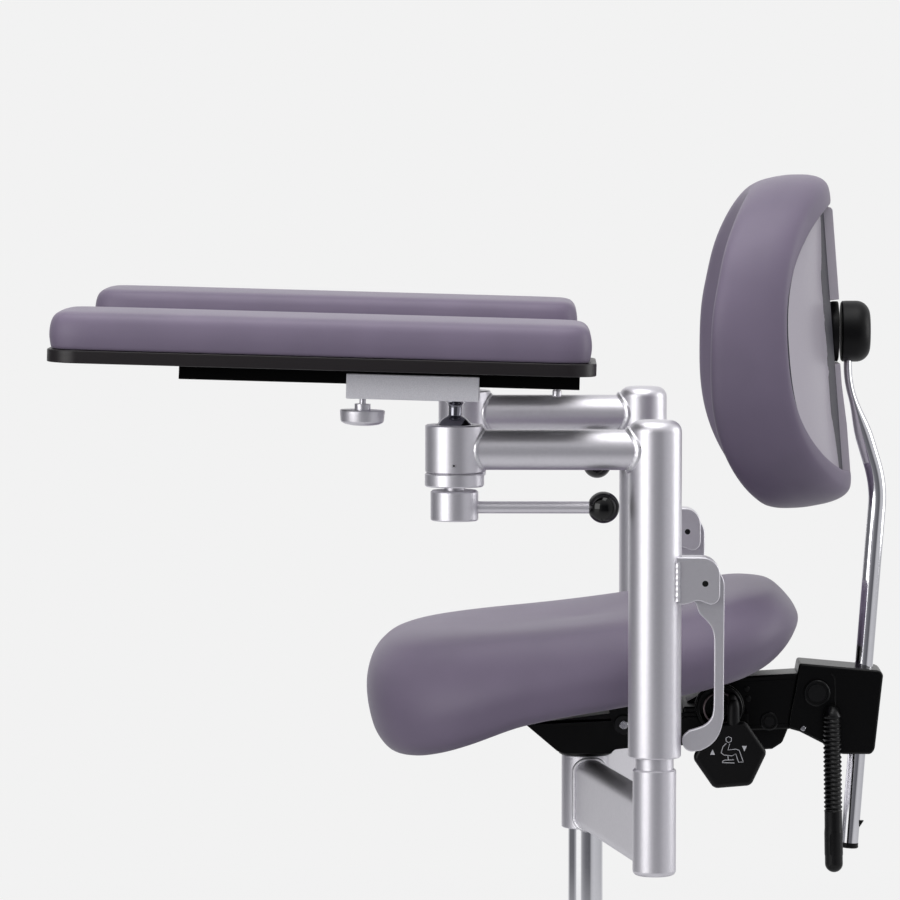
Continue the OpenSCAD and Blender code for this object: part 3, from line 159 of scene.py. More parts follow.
bmesh.ops.create_grid(ground, x_segments=8, y_segments=8, size=9)
floor = bpy.data.objects.new("floor", bpy.data.meshes.new("floor"))
ground.to_mesh(floor.data)
floor.data.materials.append(sweep)
scene.collection.objects.link(floor)

lamps = {  # place, what it faces, width and height in metres, watts
    "overhead": ((0.5, -0.2, 3.0), (0, 0, 0.7), (2.4, 2.0), 35),
    "front_left": ((2.7, -2.7, 1.4), (0, -0.1, 0.7), (2.6, 2.4), 44),
    "behind": ((-0.4, 2.9, 1.2), (0, 0, 0.7), (1.5, 2.0), 24),
    "near_side": ((3.6, 0.9, 1.2), (0, 0, 0.6), (1.6, 1.6), 19),
    "far_side": ((-2.8, -0.6, 1.9), (0, 0, 0.7), (1.8, 1.8), 18),
}
for name, (place, faces, (wide, high), watts) in lamps.items():
    lamp = aimed(name, bpy.data.lights.new(name, "AREA"), place, faces)
    lamp.data.shape = "RECTANGLE"
    lamp.data.size, lamp.data.size_y = wide, high
    lamp.data.energy = watts
    lamp.visible_camera = False
    lamp.visible_glossy = not name.endswith("side")


# Star base. A five-legged die-cast aluminium foot, shot-blasted and clear-lacquered, and the stand
# tube pressed into its hub, drawn from the same metal. Blasting leaves a fine, even, soft grey.
def finished(name, skin, depth, **shader):
    """A material. skin gives its colour, roughness and height; depth is the height in millimetres."""
    material = bpy.data.materials.new(name)
    material.use_nodes = True
    tree = material.node_tree
    body = tree.nodes["Principled BSDF"]
    for socket, value in shader.items():
        body.inputs[socket.replace("_", " ")].default_value = value
    tint, rough, height = skin(tree, add(tree, "ShaderNodeTexCoord").outputs["Object"])
    bump = add(tree, "ShaderNodeBump", {"Height": height, "Distance": depth * MM, "Strength": 1.0})
    for source, socket in ((tint, "Base Color"), (rough, "Roughness"), (bump.outputs[0], "Normal")):
        tree.links.new(source, body.inputs[socket])
    return material


def surfaced(name, colours, metallic, roughness, grain, depth, stretch=(1, 1, 1), **shader):
    """A finish whose colour, roughness and bump follow one noise. grain is its size in millimetres."""
    def grained(tree, place):
        laid = add(tree, "ShaderNodeMapping", {"Vector": place, "Scale": [1 / s for s in stretch]})
        noise = add(tree, "ShaderNodeTexNoise", {"Vector": laid.outputs[0], "Scale": 1 / (grain * MM),
                                                 "Detail": 3.0}).outputs[0]
        return blend(tree, noise, *map(paint, colours)), ranged(tree, noise, 0.3, 0.7, *roughness), noise
    return finished(name, grained, depth, Metallic=metallic, **shader)


def dress(material, *names):
    """Gives CAD nodes that stay as they are their material."""
    for name in names:
        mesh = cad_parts[name].data
        mesh.materials.clear()
        mesh.materials.append(material)


cast_aluminium = surfaced("cast_aluminium_blasted", ("b9b8bd", "a5a4aa"), 1, (0.38, 0.5), 1.2, 0.03)
satin_aluminium = surfaced("aluminium_satin_anodised", ("e4e2e7", "dcdadf"), 0.88, (0.38, 0.42), 4, 0.0008)
dress(cast_aluminium, "star_base")
dress(satin_aluminium, "stand_tube")

# Castors. Twin wheels of grey polyurethane on a black nylon hood, moulded with a fine spark texture
# that kills the gloss. The stem snaps into the end of each leg.
black_nylon = surfaced("nylon_moulded_black", ("060607", "040404"), 0, (0.38, 0.48), 0.8, 0.01,
                       Specular_IOR_Level=0.22)
grey_urethane = surfaced("polyurethane_moulded_grey", ("55555a", "47474c"), 0, (0.5, 0.62), 1.5, 0.02)
for number in range(1, 6):
    dress(black_nylon, f"castor_{number}_hood")
    dress(grey_urethane, f"castor_{number}_wheels")

# Gas spring. The cylinder is hard-chromed steel, ground and polished, so it mirrors the room in
# upright streaks; the rod below it is bright steel and the guide bush black acetal.
chrome = surfaced("steel_chromed_polished", ("f4f4f6", "ececef"), 1, (0.045, 0.085), 6, 0.0005)
bright_steel = surfaced("steel_ground", ("c9c9cd", "b5b5ba"), 1, (0.2, 0.3), 1.0, 0.003, (6, 6, 1))
dress(chrome, "lift_column")
dress(bright_steel, "gas_rod", "valve_pin")
dress(black_nylon, "column_bush")


# Carrier. An aluminium hub with two rounded box tubes and two turned sockets, welded and then
# satin-anodised as one. The posts stand in the sockets; the sleeves slide on them.
def mm(*place):
    return Vector(place) * MM


def at(*place):
    return Matrix.Translation(mm(*place))


def turn(angle, axis):
    return Matrix.Rotation(radians(angle), 4, axis)


def sided(side, *place):
    """The place of a part on the left, or of its mirror image on the right."""
    return Matrix.Diagonal((side, 1, 1, 1)) @ at(*place)


def arc(centre, radius, start, stop, steps=8):
    """Points of an arc, from one angle in degrees to another."""
    angles = [radians(start + (stop - start) * i / steps) for i in range(steps + 1)]
    return [(centre[0] + radius * cos(a), centre[1] + radius * sin(a)) for a in angles]


def rounded(w, h, r):
    """The outline of a rectangle with round corners."""
    corners = ((1, 1, 0), (-1, 1, 90), (-1, -1, 180), (1, -1, 270))
    return [p for x, y, a in corners for p in arc((x * (w / 2 - r), y * (h / 2 - r)), r, a, a + 90)]


def wall(r, low, high, under, over):
    """The profile of a round wall with a chamfer at its lower and its upper end."""
    return [(r - under, low), (r, low + under), (r, high - over), (r - over, high)]


def turned(profile, steps=72):
    """A turned part. Its profile, of radii and heights, starts on the axis or runs round a wall."""
    form = bmesh.new()
    points = [form.verts.new(mm(r, 0, z)) for r, z in profile]
    ends = points[1:] + points[:1] if profile[0][0] > 0.01 else points[1:]
    edges = [form.edges.new(pair) for pair in zip(points, ends)]
    bmesh.ops.spin(form, geom=points + edges, cent=(0, 0, 0), axis=(0, 0, 1), angle=tau, steps=steps,
                   use_merge=True)
    bmesh.ops.remove_doubles(form, verts=form.verts, dist=0.001 * MM)
    return form


def plate(outline, width, middle=0):
    """A flat part across the stool: an outline in Y and Z, extruded along X."""
    form = bmesh.new()
    face = form.faces.new([form.verts.new(mm(middle - width / 2, y, z)) for y, z in outline])
    grown = bmesh.ops.extrude_face_region(form, geom=[face])["geom"]
    bmesh.ops.translate(form, verts=[v for v in grown if isinstance(v, bmesh.types.BMVert)],
                        vec=mm(width, 0, 0))
    return form


def eased(form, width, segments=3, least=30):
    """Rounds every edge that turns by more than the least angle."""
    bmesh.ops.recalc_face_normals(form, faces=form.faces)
    edges = [e for e in form.edges if len(e.link_faces) == 2 and e.calc_face_angle() > radians(least)]
    bmesh.ops.bevel(form, geom=edges, offset=width * MM, affect="EDGES", segments=segments, profile=0.5,
                    material=-1, clamp_overlap=True)
    return form


def swept(path, radii, sides=16, closed=False):
    """A rod along a path. radii gives each ring's two half widths, the first across the path's turn."""
    form = bmesh.new()
    points = [Vector(p) for p in path]
    count = len(points)
    rings, across = [], None
    for i, point in enumerate(points):
        before = points[(i - 1) % count] if closed or i else point
        after = points[(i + 1) % count] if closed or i < count - 1 else point
        along = (after - before).normalized()
        if across is None:
            across = Vector((1, 0, 0)) if abs(along.x) < 0.9 else Vector((0, 0, 1))
        across = (across - along * across.dot(along)).normalized()
        wide, deep = radii[i] if isinstance(radii, list) else radii
        ring = bmesh.ops.create_circle(form, segments=sides, radius=1, cap_ends=False)["verts"]
        axes = Matrix((across * wide * MM, along.cross(across) * deep * MM, along)).transposed()
        bmesh.ops.transform(form, matrix=Matrix.Translation(point) @ axes.to_4x4(), verts=ring)
        rings.append(list({e for v in ring for e in v.link_edges}))
    for one, other in zip(rings, rings[1:] + rings[:1] if closed else rings[1:]):
        bmesh.ops.bridge_loops(form, edges=one + other)
    if not closed:
        for end in (rings[0], rings[-1]):
            bmesh.ops.contextual_create(form, geom=end)
    return form


def joined(*forms):
    """Several forms as one."""
    whole = bmesh.new()
    for form in forms:
        part = bpy.data.meshes.new("part")
        form.to_mesh(part)
        form.free()
        whole.from_mesh(part)
        bpy.data.meshes.remove(part)
    return whole


def moved(form, matrix):
    bmesh.ops.transform(form, matrix=matrix, verts=form.verts)
    return form


def shown(name, form, material, body, nodes=(), sharp=38):
    """Makes a finished piece of a form, which rides a body and may stand for CAD nodes."""
    bmesh.ops.recalc_face_normals(form, faces=form.faces)
    mesh = bpy.data.meshes.new(name)
    form.to_mesh(mesh)
    form.free()
    mesh.materials.append(material)
    mesh.shade_smooth()
    mesh.set_sharp_from_angle(angle=radians(sharp))
    made = bpy.data.objects.new(name, mesh)
    scene.collection.objects.link(made)
    made.modifiers.new("flat_faces", "WEIGHTED_NORMAL").keep_sharp = True
    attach(made, body)
    if nodes:
        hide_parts(*nodes)
    return made


def bead(path, size, closed=False, pitch=2.4, swell=0.03):
    """A weld bead, with the ripples of its pools."""
    length = sum((b - a).length for a, b in zip(path, path[1:]))
    waves = max(3, round(length / (pitch * MM)))
    count = waves * 4
    steps = []
    for i in range(count):
        way = i / count * (len(path) if closed else len(path) - 1)
        a, b = path[int(way)], path[(int(way) + 1) % len(path)]
        steps.append(a.lerp(b, way % 1))
    radii = [(size * (1 + swell * cos(tau * i / 4)),) * 2 for i in range(count)]
    return swept(steps, radii, 8, closed)


post = (300, 62.5)
hub = Sizes(low=362, high=436, r=24, bore=17.6)
box = Sizes(w=30, h=70, r=13)
socket = Sizes(low=358, h=101, r=20.5)
reach, skew = hypot(*post), degrees(atan2(post[1], post[0]))  # the box arms' length and angle
weld_aluminium = surfaced("aluminium_weld_bead", ("efeef1", "d6d5d9"), 0.85, (0.34, 0.44), 2.4, 0.12)
hub_form = turned([(hub.bore, hub.low), *wall(hub.r, hub.low, hub.high, 1, 1), (8, hub.high),
                   (8, hub.high - 7), (hub.bore, hub.high - 7)])
carrier_forms, carrier_welds = [hub_form], []
middle = hub.low + box.h / 2
box_outline, weld_outline = [
    [(y, z + middle) for y, z in rounded(box.w + extra, box.h + extra, box.r)] for extra in (0, 1.2)]
for side in (1, -1):
    along_arm = sided(side, 0, 0, 0) @ turn(skew, "Z")
    carrier_forms.append(moved(plate(box_outline, reach, reach / 2), along_arm))
    cup = turned([(0, 0), (socket.r - 5, 0)] + arc((socket.r - 5, 5), 5, -90, 0, 6)
                 + [(socket.r, socket.h - 1.6), (socket.r - 1.6, socket.h), (0, socket.h)])
    carrier_forms.append(moved(cup, sided(side, *post, socket.low)))
    stand = turned([(0, 460), (0, 455), (18, 455), (18, 739), (17, 740), (15, 740), (15, 460)])
    carrier_forms.append(moved(stand, sided(side, *post, 0)))
    hub_weld = [mm(sqrt(hub.r ** 2 - y * y), y, z) for y, z in weld_outline]
    socket_weld = [mm(reach - sqrt(socket.r ** 2 - y * y), y, z) for y, z in weld_outline]
    carrier_welds += [moved(bead(line, size, True), along_arm)
                      for line, size in ((hub_weld, 2.2), (socket_weld, 2))]
shown("carrier_frame", joined(*carrier_forms), satin_aluminium, "carrier", ["carrier"])
shown("carrier_welds", joined(*carrier_welds), weld_aluminium, "carrier")

# Armrest arms. Each is one welded piece: a drawn sleeve with a rounded closed top, a cross tube, a
# turned ball housing and a milled bracket for the lock lever, satin-anodised after welding.
sleeve = Sizes(low=470, high=788, r=25, bore=20.5)
tube = Sizes(z=760, r=19, reach=188.5)
housing = Sizes(low=738.6, high=783.6, r=27.5, ball_z=774, bore=20.6)
lock = Sizes(z=615.4, h=44.6, out=60.8, pin_y=47.5, pin_z=632.7, w=28, slot=10)
set_screw_z = 746.5
pin_black = surfaced("oxide_black_steel", ("080809", "050505"), 0, (0.3, 0.4), 0.8, 0.005,
                     Specular_IOR_Level=0.35)
bracket_top = lock.z + lock.h
cheek_outline = (  # square to the sleeve, round behind, hollow below
    [(0, bracket_top)] + arc((lock.out - 17, bracket_top - 17), 17, 90, 0, 10)
    + arc((lock.out - 9, lock.z + 9), 9, 0, -90, 6)
    + [(y, lock.z + z) for y, z in ((47, 1.5), (42.5, 3.4), (38, 3.6), (32, 1.2), (27, 0), (0, 0))])
sides = ((1, "left"), (-1, "right"))


def rod(r, low, high):
    """The profile of a plain round rod."""
    return [(0, low), (r, low), (r, high), (0, high)]


def sideways(profile, y, z, x=0, side=1, steps=32):
    """A turned part that lies across the stool and points to its left, or to its right."""
    return moved(turned(profile, steps), at(x, y, z) @ turn(90 * side, "Y"))


def saddle(radius, way, y):
    """The line on which the cross tube meets an upright one."""
    rim = [(tube.r * cos(tau * i / 48), tube.r * sin(tau * i / 48)) for i in range(48)]
    return [mm(x, y + way * sqrt(radius ** 2 - x * x), tube.z + z) for x, z in rim]


for side, name in sides:
    standing = sided(side, *post, 0)
    grip_tube = turned([(0, sleeve.high), (sleeve.r - 11, sleeve.high)]
                       + arc((sleeve.r - 11, sleeve.high - 11), 11, 90, 0, 8)
                       + [(sleeve.r, sleeve.low + 1.5), (sleeve.r - 1.5, sleeve.low),
                          (sleeve.bore, sleeve.low), (sleeve.bore, sleeve.high - 6),
                          (0, sleeve.high - 6)])
    cross_tube = moved(turned(rod(tube.r, 15, tube.reach - 18)), at(0, 0, tube.z) @ turn(90, "X"))
    cup = turned([(housing.bore, housing.low), *wall(housing.r, housing.low, housing.high, 1.2, 1.2),
                  (18.6, housing.high), (18.2, housing.high - 0.4)]
                 + arc((0, housing.ball_z), housing.bore, 25, 0, 5))
    cup = moved(cup, at(0, -tube.reach, 0))
    cheeks = [eased(plate(cheek_outline, (lock.w - lock.slot) / 2, s * (lock.w + lock.slot) / 4), 1.3)
              for s in (1, -1)]
    roof = plate([(0, bracket_top - 0.2)] + arc((lock.out - 17.2, bracket_top - 17.2), 17, 90, 40, 6)
                 + [(lock.out - 8, bracket_top - 12), (30, bracket_top - 5), (0, bracket_top - 5)],
                 lock.slot + 1)
    # Painted shade: a black disc on each cheek stands for the dark of the pin's hole, with a proud satin
    # rim beside it.
    rims, hole_shade_discs = [[sideways(rod(r, -1, proud), lock.pin_y + y, lock.pin_z + z, s * lock.w / 2, s)
                   for s in (1, -1)] for r, proud, y, z in ((3, 0.06, 0.4, 2.3), (2.9, 0.12, -0.6, 2.5))]
    arm = joined(grip_tube, cross_tube, cup, *cheeks, roof, *rims)
    shown(f"{name}_arm_frame", moved(arm, standing), satin_aluminium, f"{name}_arm",
          [f"{name}_arm"])

    welds = [bead(saddle(sleeve.r, -1, 0), 3.4, True, 5),
             bead(saddle(housing.r, 1, -tube.reach), 2.2, True, 5)]
    for s in (1, -1):
        foot = [mm(s * (lock.w / 2 + 0.4), 21, lock.z + 3 + 2 * i) for i in range(20)]
        welds.append(bead(foot, 2.6, False, 5.2, 0.1))
    shown(f"{name}_arm_welds", moved(joined(*welds), standing), weld_aluminium, f"{name}_arm")

    set_screw = sideways([(0, 1), (1.0, 1), (1.2, 0), (2.1, 0.4), (2.3, -1), (0, -2)], -tube.reach,
                         set_screw_z, housing.r - 0.4, steps=24)
    crater = swept([mm(20.4, -15, z) for z in (756.5, 758, 761, 764, 765.5)],
                   [(0.2, 0.2), (0.9, 1.2), (1.1, 1.5), (0.9, 1.2), (0.2, 0.2)], 12)
    # Black pieces: the set screw, the crater and the discs of painted hole shade.
    shown(f"{name}_arm_screws_and_hole_shade", moved(joined(set_screw, crater, *hole_shade_discs), standing), pin_black, f"{name}_arm")
dress(black_nylon, "left_post_bushes", "right_post_bushes", "left_lower_seat", "right_lower_seat",
      "left_upper_seat", "right_upper_seat")

# Lock levers. A flat cam lever milled from aluminium plate, its edges broken and left bright, on a
# cross pin in the bracket's slot. The long tail hangs beside the sleeve and ends in a rolled bulb.
def curved(points, steps=4):
    """Points on a smooth curve through the given ones."""
    ends = [points[0]] + points + [points[-1]]
    out = [points[0]]
    for a, b, c, d in zip(ends, ends[1:], ends[2:], ends[3:]):
        for k in range(1, steps + 1):
            s = k / steps
            out.append(tuple(0.5 * (2 * q + (r - p) * s + (2 * p - 5 * q + 4 * r - e) * s * s
                                    + (3 * q - p - 3 * r + e) * s ** 3) for p, q, r, e in zip(a, b, c, d)))
    return out


cam_r, bulb, bulb_r = 17.7, (-11.9, -147.3), 9.8
lever_outline = (
    arc((0, 0), cam_r, 0, 215, 24)
    + curved([(-12, -14.5), (-9.1, -17.8), (-5.8, -26.4), (0.6, -32.9), (6.1, -40.5), (8.2, -50.1)])
    + curved([(8.2, -108.4), (7.2, -121.4), (4, -128), (-1.4, -132.6), (-9.1, -135.6), (-15.4, -137.4)])
    + arc(bulb, bulb_r, 120, 270, 12)
    + curved([(-4, -156), (3.9, -151.7), (10.4, -145.2), (14.7, -136.6), (17.3, -126)]))
for side, name in sides:
    lever = eased(plate([(y + lock.pin_y, z + lock.pin_z) for y, z in lever_outline], 9), 1.1)
    pin = sideways(rod(2.7, -13.8, 13.8), lock.pin_y, lock.pin_z)
    whole = moved(joined(lever, pin), sided(side, *post, 0))
    shown(f"{name}_lock_tail", whole, satin_aluminium, f"{name}_lock", [f"{name}_lock_lever"])

# Ball clamps. The clamp ring and the handle, its hub and its rod, are turned aluminium. The ball stud
# is turned steel, dark-chromed so that it mirrors darkly, and the knob is glossy black phenolic.
ring = Sizes(low=725.4, h=13.2, r=27.9)
grip = Sizes(low=693.4, h=28.5, r=22.5, rise=12.4, rod_r=5.75, length=140, knob_r=15)
stud = Sizes(r=19, neck=6.15, flare=11.7, top=33, pitch=-1.55)
dark_chrome = surfaced("steel_dark_chromed", ("8f8f96", "7b7b82"), 1, (0.07, 0.12), 5, 0.0005)
gloss_phenolic = surfaced("phenolic_polished_black", ("020202", "010101"), 0, (0.05, 0.08), 9, 0.001,
                          Specular_IOR_Level=0.4)


def under_ball(side):
    """The place of the parts on the ball housing's axis."""
    return sided(side, post[0], post[1] - tube.reach, 0)


def on_ball(side, forward=0):
    """The place of the parts that the ball carries, pitched with it."""
    return under_ball(side) @ at(0, 0, housing.ball_z) @ turn(stud.pitch, "X") @ at(0, -forward, 0)


for side, name in sides:
    standing = under_ball(side)
    low, high = ring.low, ring.low + ring.h
    band = turned([(10.1, low), *wall(ring.r, low, high - 0.4, 1.4, 1.2), (20.5, high - 0.4),
                   (20.5, high + 8.4), (10.1, high + 8.4)])
    shown(f"{name}_clamp_band", moved(band, standing), satin_aluminium, f"{name}_arm",
          [f"{name}_clamp_ring"])
    low, high = grip.low, grip.low + grip.h
    hub_part = turned([(0, low), *wall(grip.r, low, high, 1.2, 1.6), (10, high), (10, high + 29),
                       (0, high + 29)])
    grip_rod = moved(turned(rod(grip.rod_r, 0, grip.length + 2), 40),
                     at(0, 0, low + grip.rise) @ turn(-90, "X"))
    shown(f"{name}_clamp_lever", moved(joined(hub_part, grip_rod), standing), satin_aluminium,
          f"{name}_handle", [f"{name}_clamp_handle"])
    flat = grip.knob_r - 1.4
    knob = turned([(0, -flat)] + arc((0, 0), grip.knob_r, -degrees(asin(flat / grip.knob_r)), 90, 24), 64)
    knob = moved(knob, at(0, grip.length, low + grip.rise) @ turn(-90, "X"))
    shown(f"{name}_ball_grip", moved(knob, standing), gloss_phenolic, f"{name}_handle",
          [f"{name}_clamp_knob"])
    neck = [(stud.neck + (stud.flare - stud.neck) * (1 - cos(a)), 25.5 + 6 * sin(a))
            for a in [radians(15 * i) for i in range(7)]]
    pin = turned(arc((0, 0), stud.r, -90, 66, 32) + [(stud.neck + 0.5, 17.9), (stud.neck, 18.6)] + neck
                 + [(stud.flare, stud.top), (6, stud.top), (6, 41), (0, 41)])
    shown(f"{name}_ball_pin", moved(pin, on_ball(side)), dark_chrome, f"{name}_carriage",
          [f"{name}_ball_stud"], sharp=50)

# Slide blocks and thumb screws. The block is sawn aluminium bar, glass-bead blasted so that it
# sparkles, with polished chamfers. The thumb screw is turned aluminium on a steel stud.
block = Sizes(w=66, l=124, h=23.4, rear=22.3, rise=33)
rail = Sizes(w=46, h=14.8, taper=3.4, l=375, rear=116, z=46.3)
blasted_aluminium = surfaced("aluminium_glass_blasted", ("f6f5f8", "cbcacf"), 0.1, (0.45, 0.65), 0.8, 0.05)
black_enamel = surfaced("steel_powder_coated_black", ("040404", "030303"), 0, (0.28, 0.36), 1.6, 0.006,
                        Specular_IOR_Level=0.2)
thumb_y = block.rear - block.l + 14.7
for side, name in sides:
    w, low, high, half = block.w / 2, block.rise, block.rise + block.h, rail.w / 2 + 0.1
    outline = [(w, low), (w, high), (half - rail.taper + 3, high), (half, rail.z - 0.1),
               (-half, rail.z - 0.1), (rail.taper - half - 3, high), (-w, high), (-w, low)]
    body = moved(plate(outline, block.l), at(0, block.rear - block.l / 2, 0) @ turn(90, "Z"))
    shown(f"{name}_slide_body", moved(eased(body, 1.1), on_ball(side)), blasted_aluminium,
          f"{name}_carriage", [f"{name}_slide_block"])
    top = block.rise - 12.1
    head = turned([(0, top - 14.8), (9, top - 14.5), (16, top - 13.3), (19.4, top - 11.6), (20.4, top - 10),
                   (21.2, top - 0.8), (20.6, top), (7.5, top), (7.5, top + 5.7), (3, top + 5.7),
                   (3, high - 12), (0, high - 12)])
    shown(f"{name}_thumb_head", moved(head, on_ball(side) @ at(0, thumb_y, 0)), satin_aluminium,
          f"{name}_thumb", [f"{name}_thumb_screw"])

# Pad carriages. A dovetail rail of powder-coated steel with a stop screw, under a board of black
# compact laminate with rounded corners and a satin milled edge that shows its paper layers.
board = Sizes(w=160, l=511, t=12, rear=131, r=30, z=61.1)
laminate = surfaced("laminate_compact_black", ("231f21", "181516"), 0, (0.34, 0.42), 3, 0.004,
                    (14, 14, 0.35), Specular_IOR_Level=0.35)
pad_forward = {"left": 0, "right": 10}
stop_inset = {"left": 21, "right": 19}  # each screw meets its block where the pad's travel ends
level = Matrix(((0, 1, 0, 0), (0, 0, 1, 0), (1, 0, 0, 0), (0, 0, 0, 1)))  # lays a plate flat
for side, name in sides:
    pitched = on_ball(side, pad_forward[name])
    half, high = rail.w / 2, rail.z + rail.h
    outline = [(half, rail.z), (half - rail.taper, high), (rail.taper - half, high), (-half, rail.z)]
    bar = moved(plate(outline, rail.l), at(0, rail.rear - rail.l / 2, 0) @ turn(90, "Z"))
    shown(f"{name}_dovetail", moved(eased(bar, 0.6, 2), pitched), black_enamel, f"{name}_pad",
          [f"{name}_pad_rail"])
    screw = turned([(0, -8), (3.4, -8), (4.25, -7), (4.25, -2.4), (3.4, -1.6), (3.4, 3), (0, 3)], 32)
    screw_at = pitched @ at(0, rail.rear - stop_inset[name], rail.z)
    shown(f"{name}_stop_screw", moved(screw, screw_at), satin_aluminium, f"{name}_pad")
    slab = plate(rounded(board.w, board.l, board.r), board.t)
    slab = moved(slab, at(0, board.rear - board.l / 2, board.z + board.t / 2) @ level)
    shown(f"{name}_laminate", moved(eased(slab, 1.1, least=50), pitched), laminate, f"{name}_pad",
          [f"{name}_pad_board"])


# Arm pads. Moulded foam under a stretched cover of polyurethane-coated fabric, embossed with a fine
# leather grain and stapled under the edge, so the sides bulge out and the corners stay soft.
def follow(rows, way):
    """A smooth value between rows, whose first number is the way along them."""
    i = max(k for k in range(len(rows) - 1) if rows[k][0] <= way or k == 0)
    a, b = rows[i], rows[i + 1]
    t = min(max((way - a[0]) / (b[0] - a[0]), 0), 1)
    before, after = rows[max(i - 1, 0)], rows[min(i + 2, len(rows) - 1)]
    out = []
    for k in range(1, len(a)):
        m = (b[k] - before[k]) / (b[0] - before[0]) * (b[0] - a[0])
        n = (after[k] - a[k]) / (after[0] - a[0]) * (b[0] - a[0])
        out.append(a[k] * (2 * t ** 3 - 3 * t ** 2 + 1) + m * (t ** 3 - 2 * t ** 2 + t)
                   + b[k] * (3 * t ** 2 - 2 * t ** 3) + n * (t ** 3 - t ** 2))
    return out


def cushioned(cuts, place):
    """A padded form: a cube is divided, and each point goes to its place on the cushion.

    way runs from 0, the middle of the underside, over the edge to 1, the middle of the top."""
    form = bmesh.new()
    bmesh.ops.create_cube(form, size=2)
    bmesh.ops.subdivide_edges(form, edges=form.edges, cuts=cuts, use_grid_fill=True)
    for v in form.verts:
        u, w, h = v.co
        out = max(abs(u), abs(w))
        way = (h + 3) / 6 if out > 1 - 1e-5 else out / 3 if h < 0 else 1 - out / 3
        v.co = place(u / max(out, 1e-6), w / max(out, 1e-6), out, way) * MM
    return form


def leather(tree, place):
    """Coated fabric: a pebbled grain of a millimetre, drawn a little coarse, over slow cloudy tones."""
    warp = add(tree, "ShaderNodeTexNoise", {"Vector": place, "Scale": 420.0, "Detail": 2.0})
    shift = add(tree, "ShaderNodeVectorMath", {0: warp.outputs["Color"], 3: 0.0011}, operation="SCALE")
    grainy = add(tree, "ShaderNodeVectorMath", {0: place, 1: shift.outputs[0]}, operation="ADD")
    pebble = add(tree, "ShaderNodeTexVoronoi", {"Vector": grainy.outputs[0], "Scale": 780.0},
                 feature="DISTANCE_TO_EDGE")
    crease = ranged(tree, pebble.outputs["Distance"], 0, 0.14)
    cloud = add(tree, "ShaderNodeTexNoise", {"Vector": place, "Scale": 14.0, "Detail": 2.0}).outputs[0]
    tint = blend(tree, ranged(tree, cloud, 0.3, 0.7), paint("71677a"), paint("776c80"))
    return tint, ranged(tree, crease, 0, 1, 0.56, 0.46), crease


def upholstered(name, form, body, node):
    """Shows a cushion in its leather, smoothed, which stands for the CAD's padded solid."""
    made = shown(name, form, lilac_leather, body, [node], sharp=80)
    made.modifiers.clear()
    smooth = made.modifiers.new("smooth", "SUBSURF")
    smooth.levels = smooth.render_levels = 1


lilac_leather = finished("leatherette_embossed_lilac", leather, 0.02, Specular_IOR_Level=0.42,
                         Sheen_Weight=0.12, Sheen_Roughness=0.4)
pad = Sizes(w=160, l=508, t=35, inset=2.7, r=28, z=73.4, crown=1.5, y=board.rear - board.l / 2 - 1.5)
pad_rows = [  # way, how far inside the widest outline, share of the height
    (0, 80, 0), (0.25, 24, 0), (0.325, 3.2, 0), (0.35, 1.2, 0.03), (0.4, 0, 0.14), (0.46, -0.9, 0.32),
    (0.5, -0.9, 0.46), (0.54, -0.3, 0.6), (0.585, 1.2, 0.75), (0.63, 4, 0.87), (0.68, 9, 0.955),
    (0.75, 20, 0.99), (0.85, 45, 1), (1, 80, 1)]


def pad_place(u, w, out, way):
    inward, rise = follow(pad_rows, min(max(way, 0.25), 0.75))[0], follow(pad_rows, way)[1]
    share = min(out / 0.75, 1)  # the middle of the top and of the underside is flat
    half_w, half_l = [(side / 2 - pad.inset - inward) * share for side in (pad.w, pad.l)]
    x, y = u * half_w, w * half_l
    r = max(min(pad.r - inward, half_w, half_l), 0.01)
    if abs(x) > half_w - r and abs(y) > half_l - r:
        core = Vector((max(min(x, half_w - r), r - half_w), max(min(y, half_l - r), r - half_l)))
        out_of = Vector((x, y)) - core
        if out_of.length > 1e-6:
            x, y = core + out_of.normalized() * r
    crown = pad.crown * rise * (1 - (2 * x / pad.w) ** 2)
    return Vector((x, y + pad.y, pad.z + rise * pad.t + crown))


for side, name in sides:
    upholstered(f"{name}_pad_cover", moved(cushioned(31, pad_place), on_ball(side, pad_forward[name])),
                f"{name}_pad", f"{name}_pad")

# Seat mechanism. A pan pressed from steel sheet, a channel back to the rear bracket, and the seat's
# plate, all powder-coated black. The pin through the pan's walls is bright steel.
pan = Sizes(nose=-62, l=222, z=443.5, h=42, w=130)
pan_shares = [  # along its length and height: the underside from the nose, then the top back to it
    (0, 0.73), (0.15, 0.06), (0.18, 0), (0.385, 0), (0.41, 0.1), (0.46, 0.13), (0.7, 0.2), (1, 0.3),
    (1, 0.95), (0.45, 1), (0, 0.69)]
pan_form = plate([(pan.nose + a * pan.l, pan.z + b * pan.h) for a, b in pan_shares], pan.w)
collar = turned([(8, 436), (26, 436), (27, 437), (27, 444), (8, 444)])
boss = (131.5, 489.5)
boss_forms = [sideways(profile, *boss, steps=72) for profile in (  # its plate, wall and core
    [(0, 62), (24.5, 62), (24.5, 64.6), (24.1, 65), (0, 65)],
    [(20, 64), (23, 64), (23, 71.2), (22.2, 72), (20.6, 72), (20, 71.4)],
    [(0, 64), (9, 64), (9, 71.2), (8.2, 72), (0, 72)])]
shown("pan_shell", joined(eased(pan_form, 3, least=8), collar, *boss_forms), black_enamel, "carrier",
      ["mechanism_pan"])
dress(black_enamel, "seat_plate")
dress(black_nylon, "height_lever", "seat_board")
spring_steel = surfaced("steel_spring_oiled", ("74686a", "4a4244"), 1, (0.3, 0.42), 1.0, 0.01)
coil = Sizes(x=66.2, l=4.5, r=15.5, wire=1.1, turns=3)
coil_path = [mm(coil.x + coil.l * share, boss[0] + coil.r * cos(tau * coil.turns * share),
                boss[1] + coil.r * sin(tau * coil.turns * share)) for share in [i / 72 for i in range(73)]]
shown("boss_spring", swept(coil_path, (coil.wire,) * 2, 8), spring_steel, "carrier")

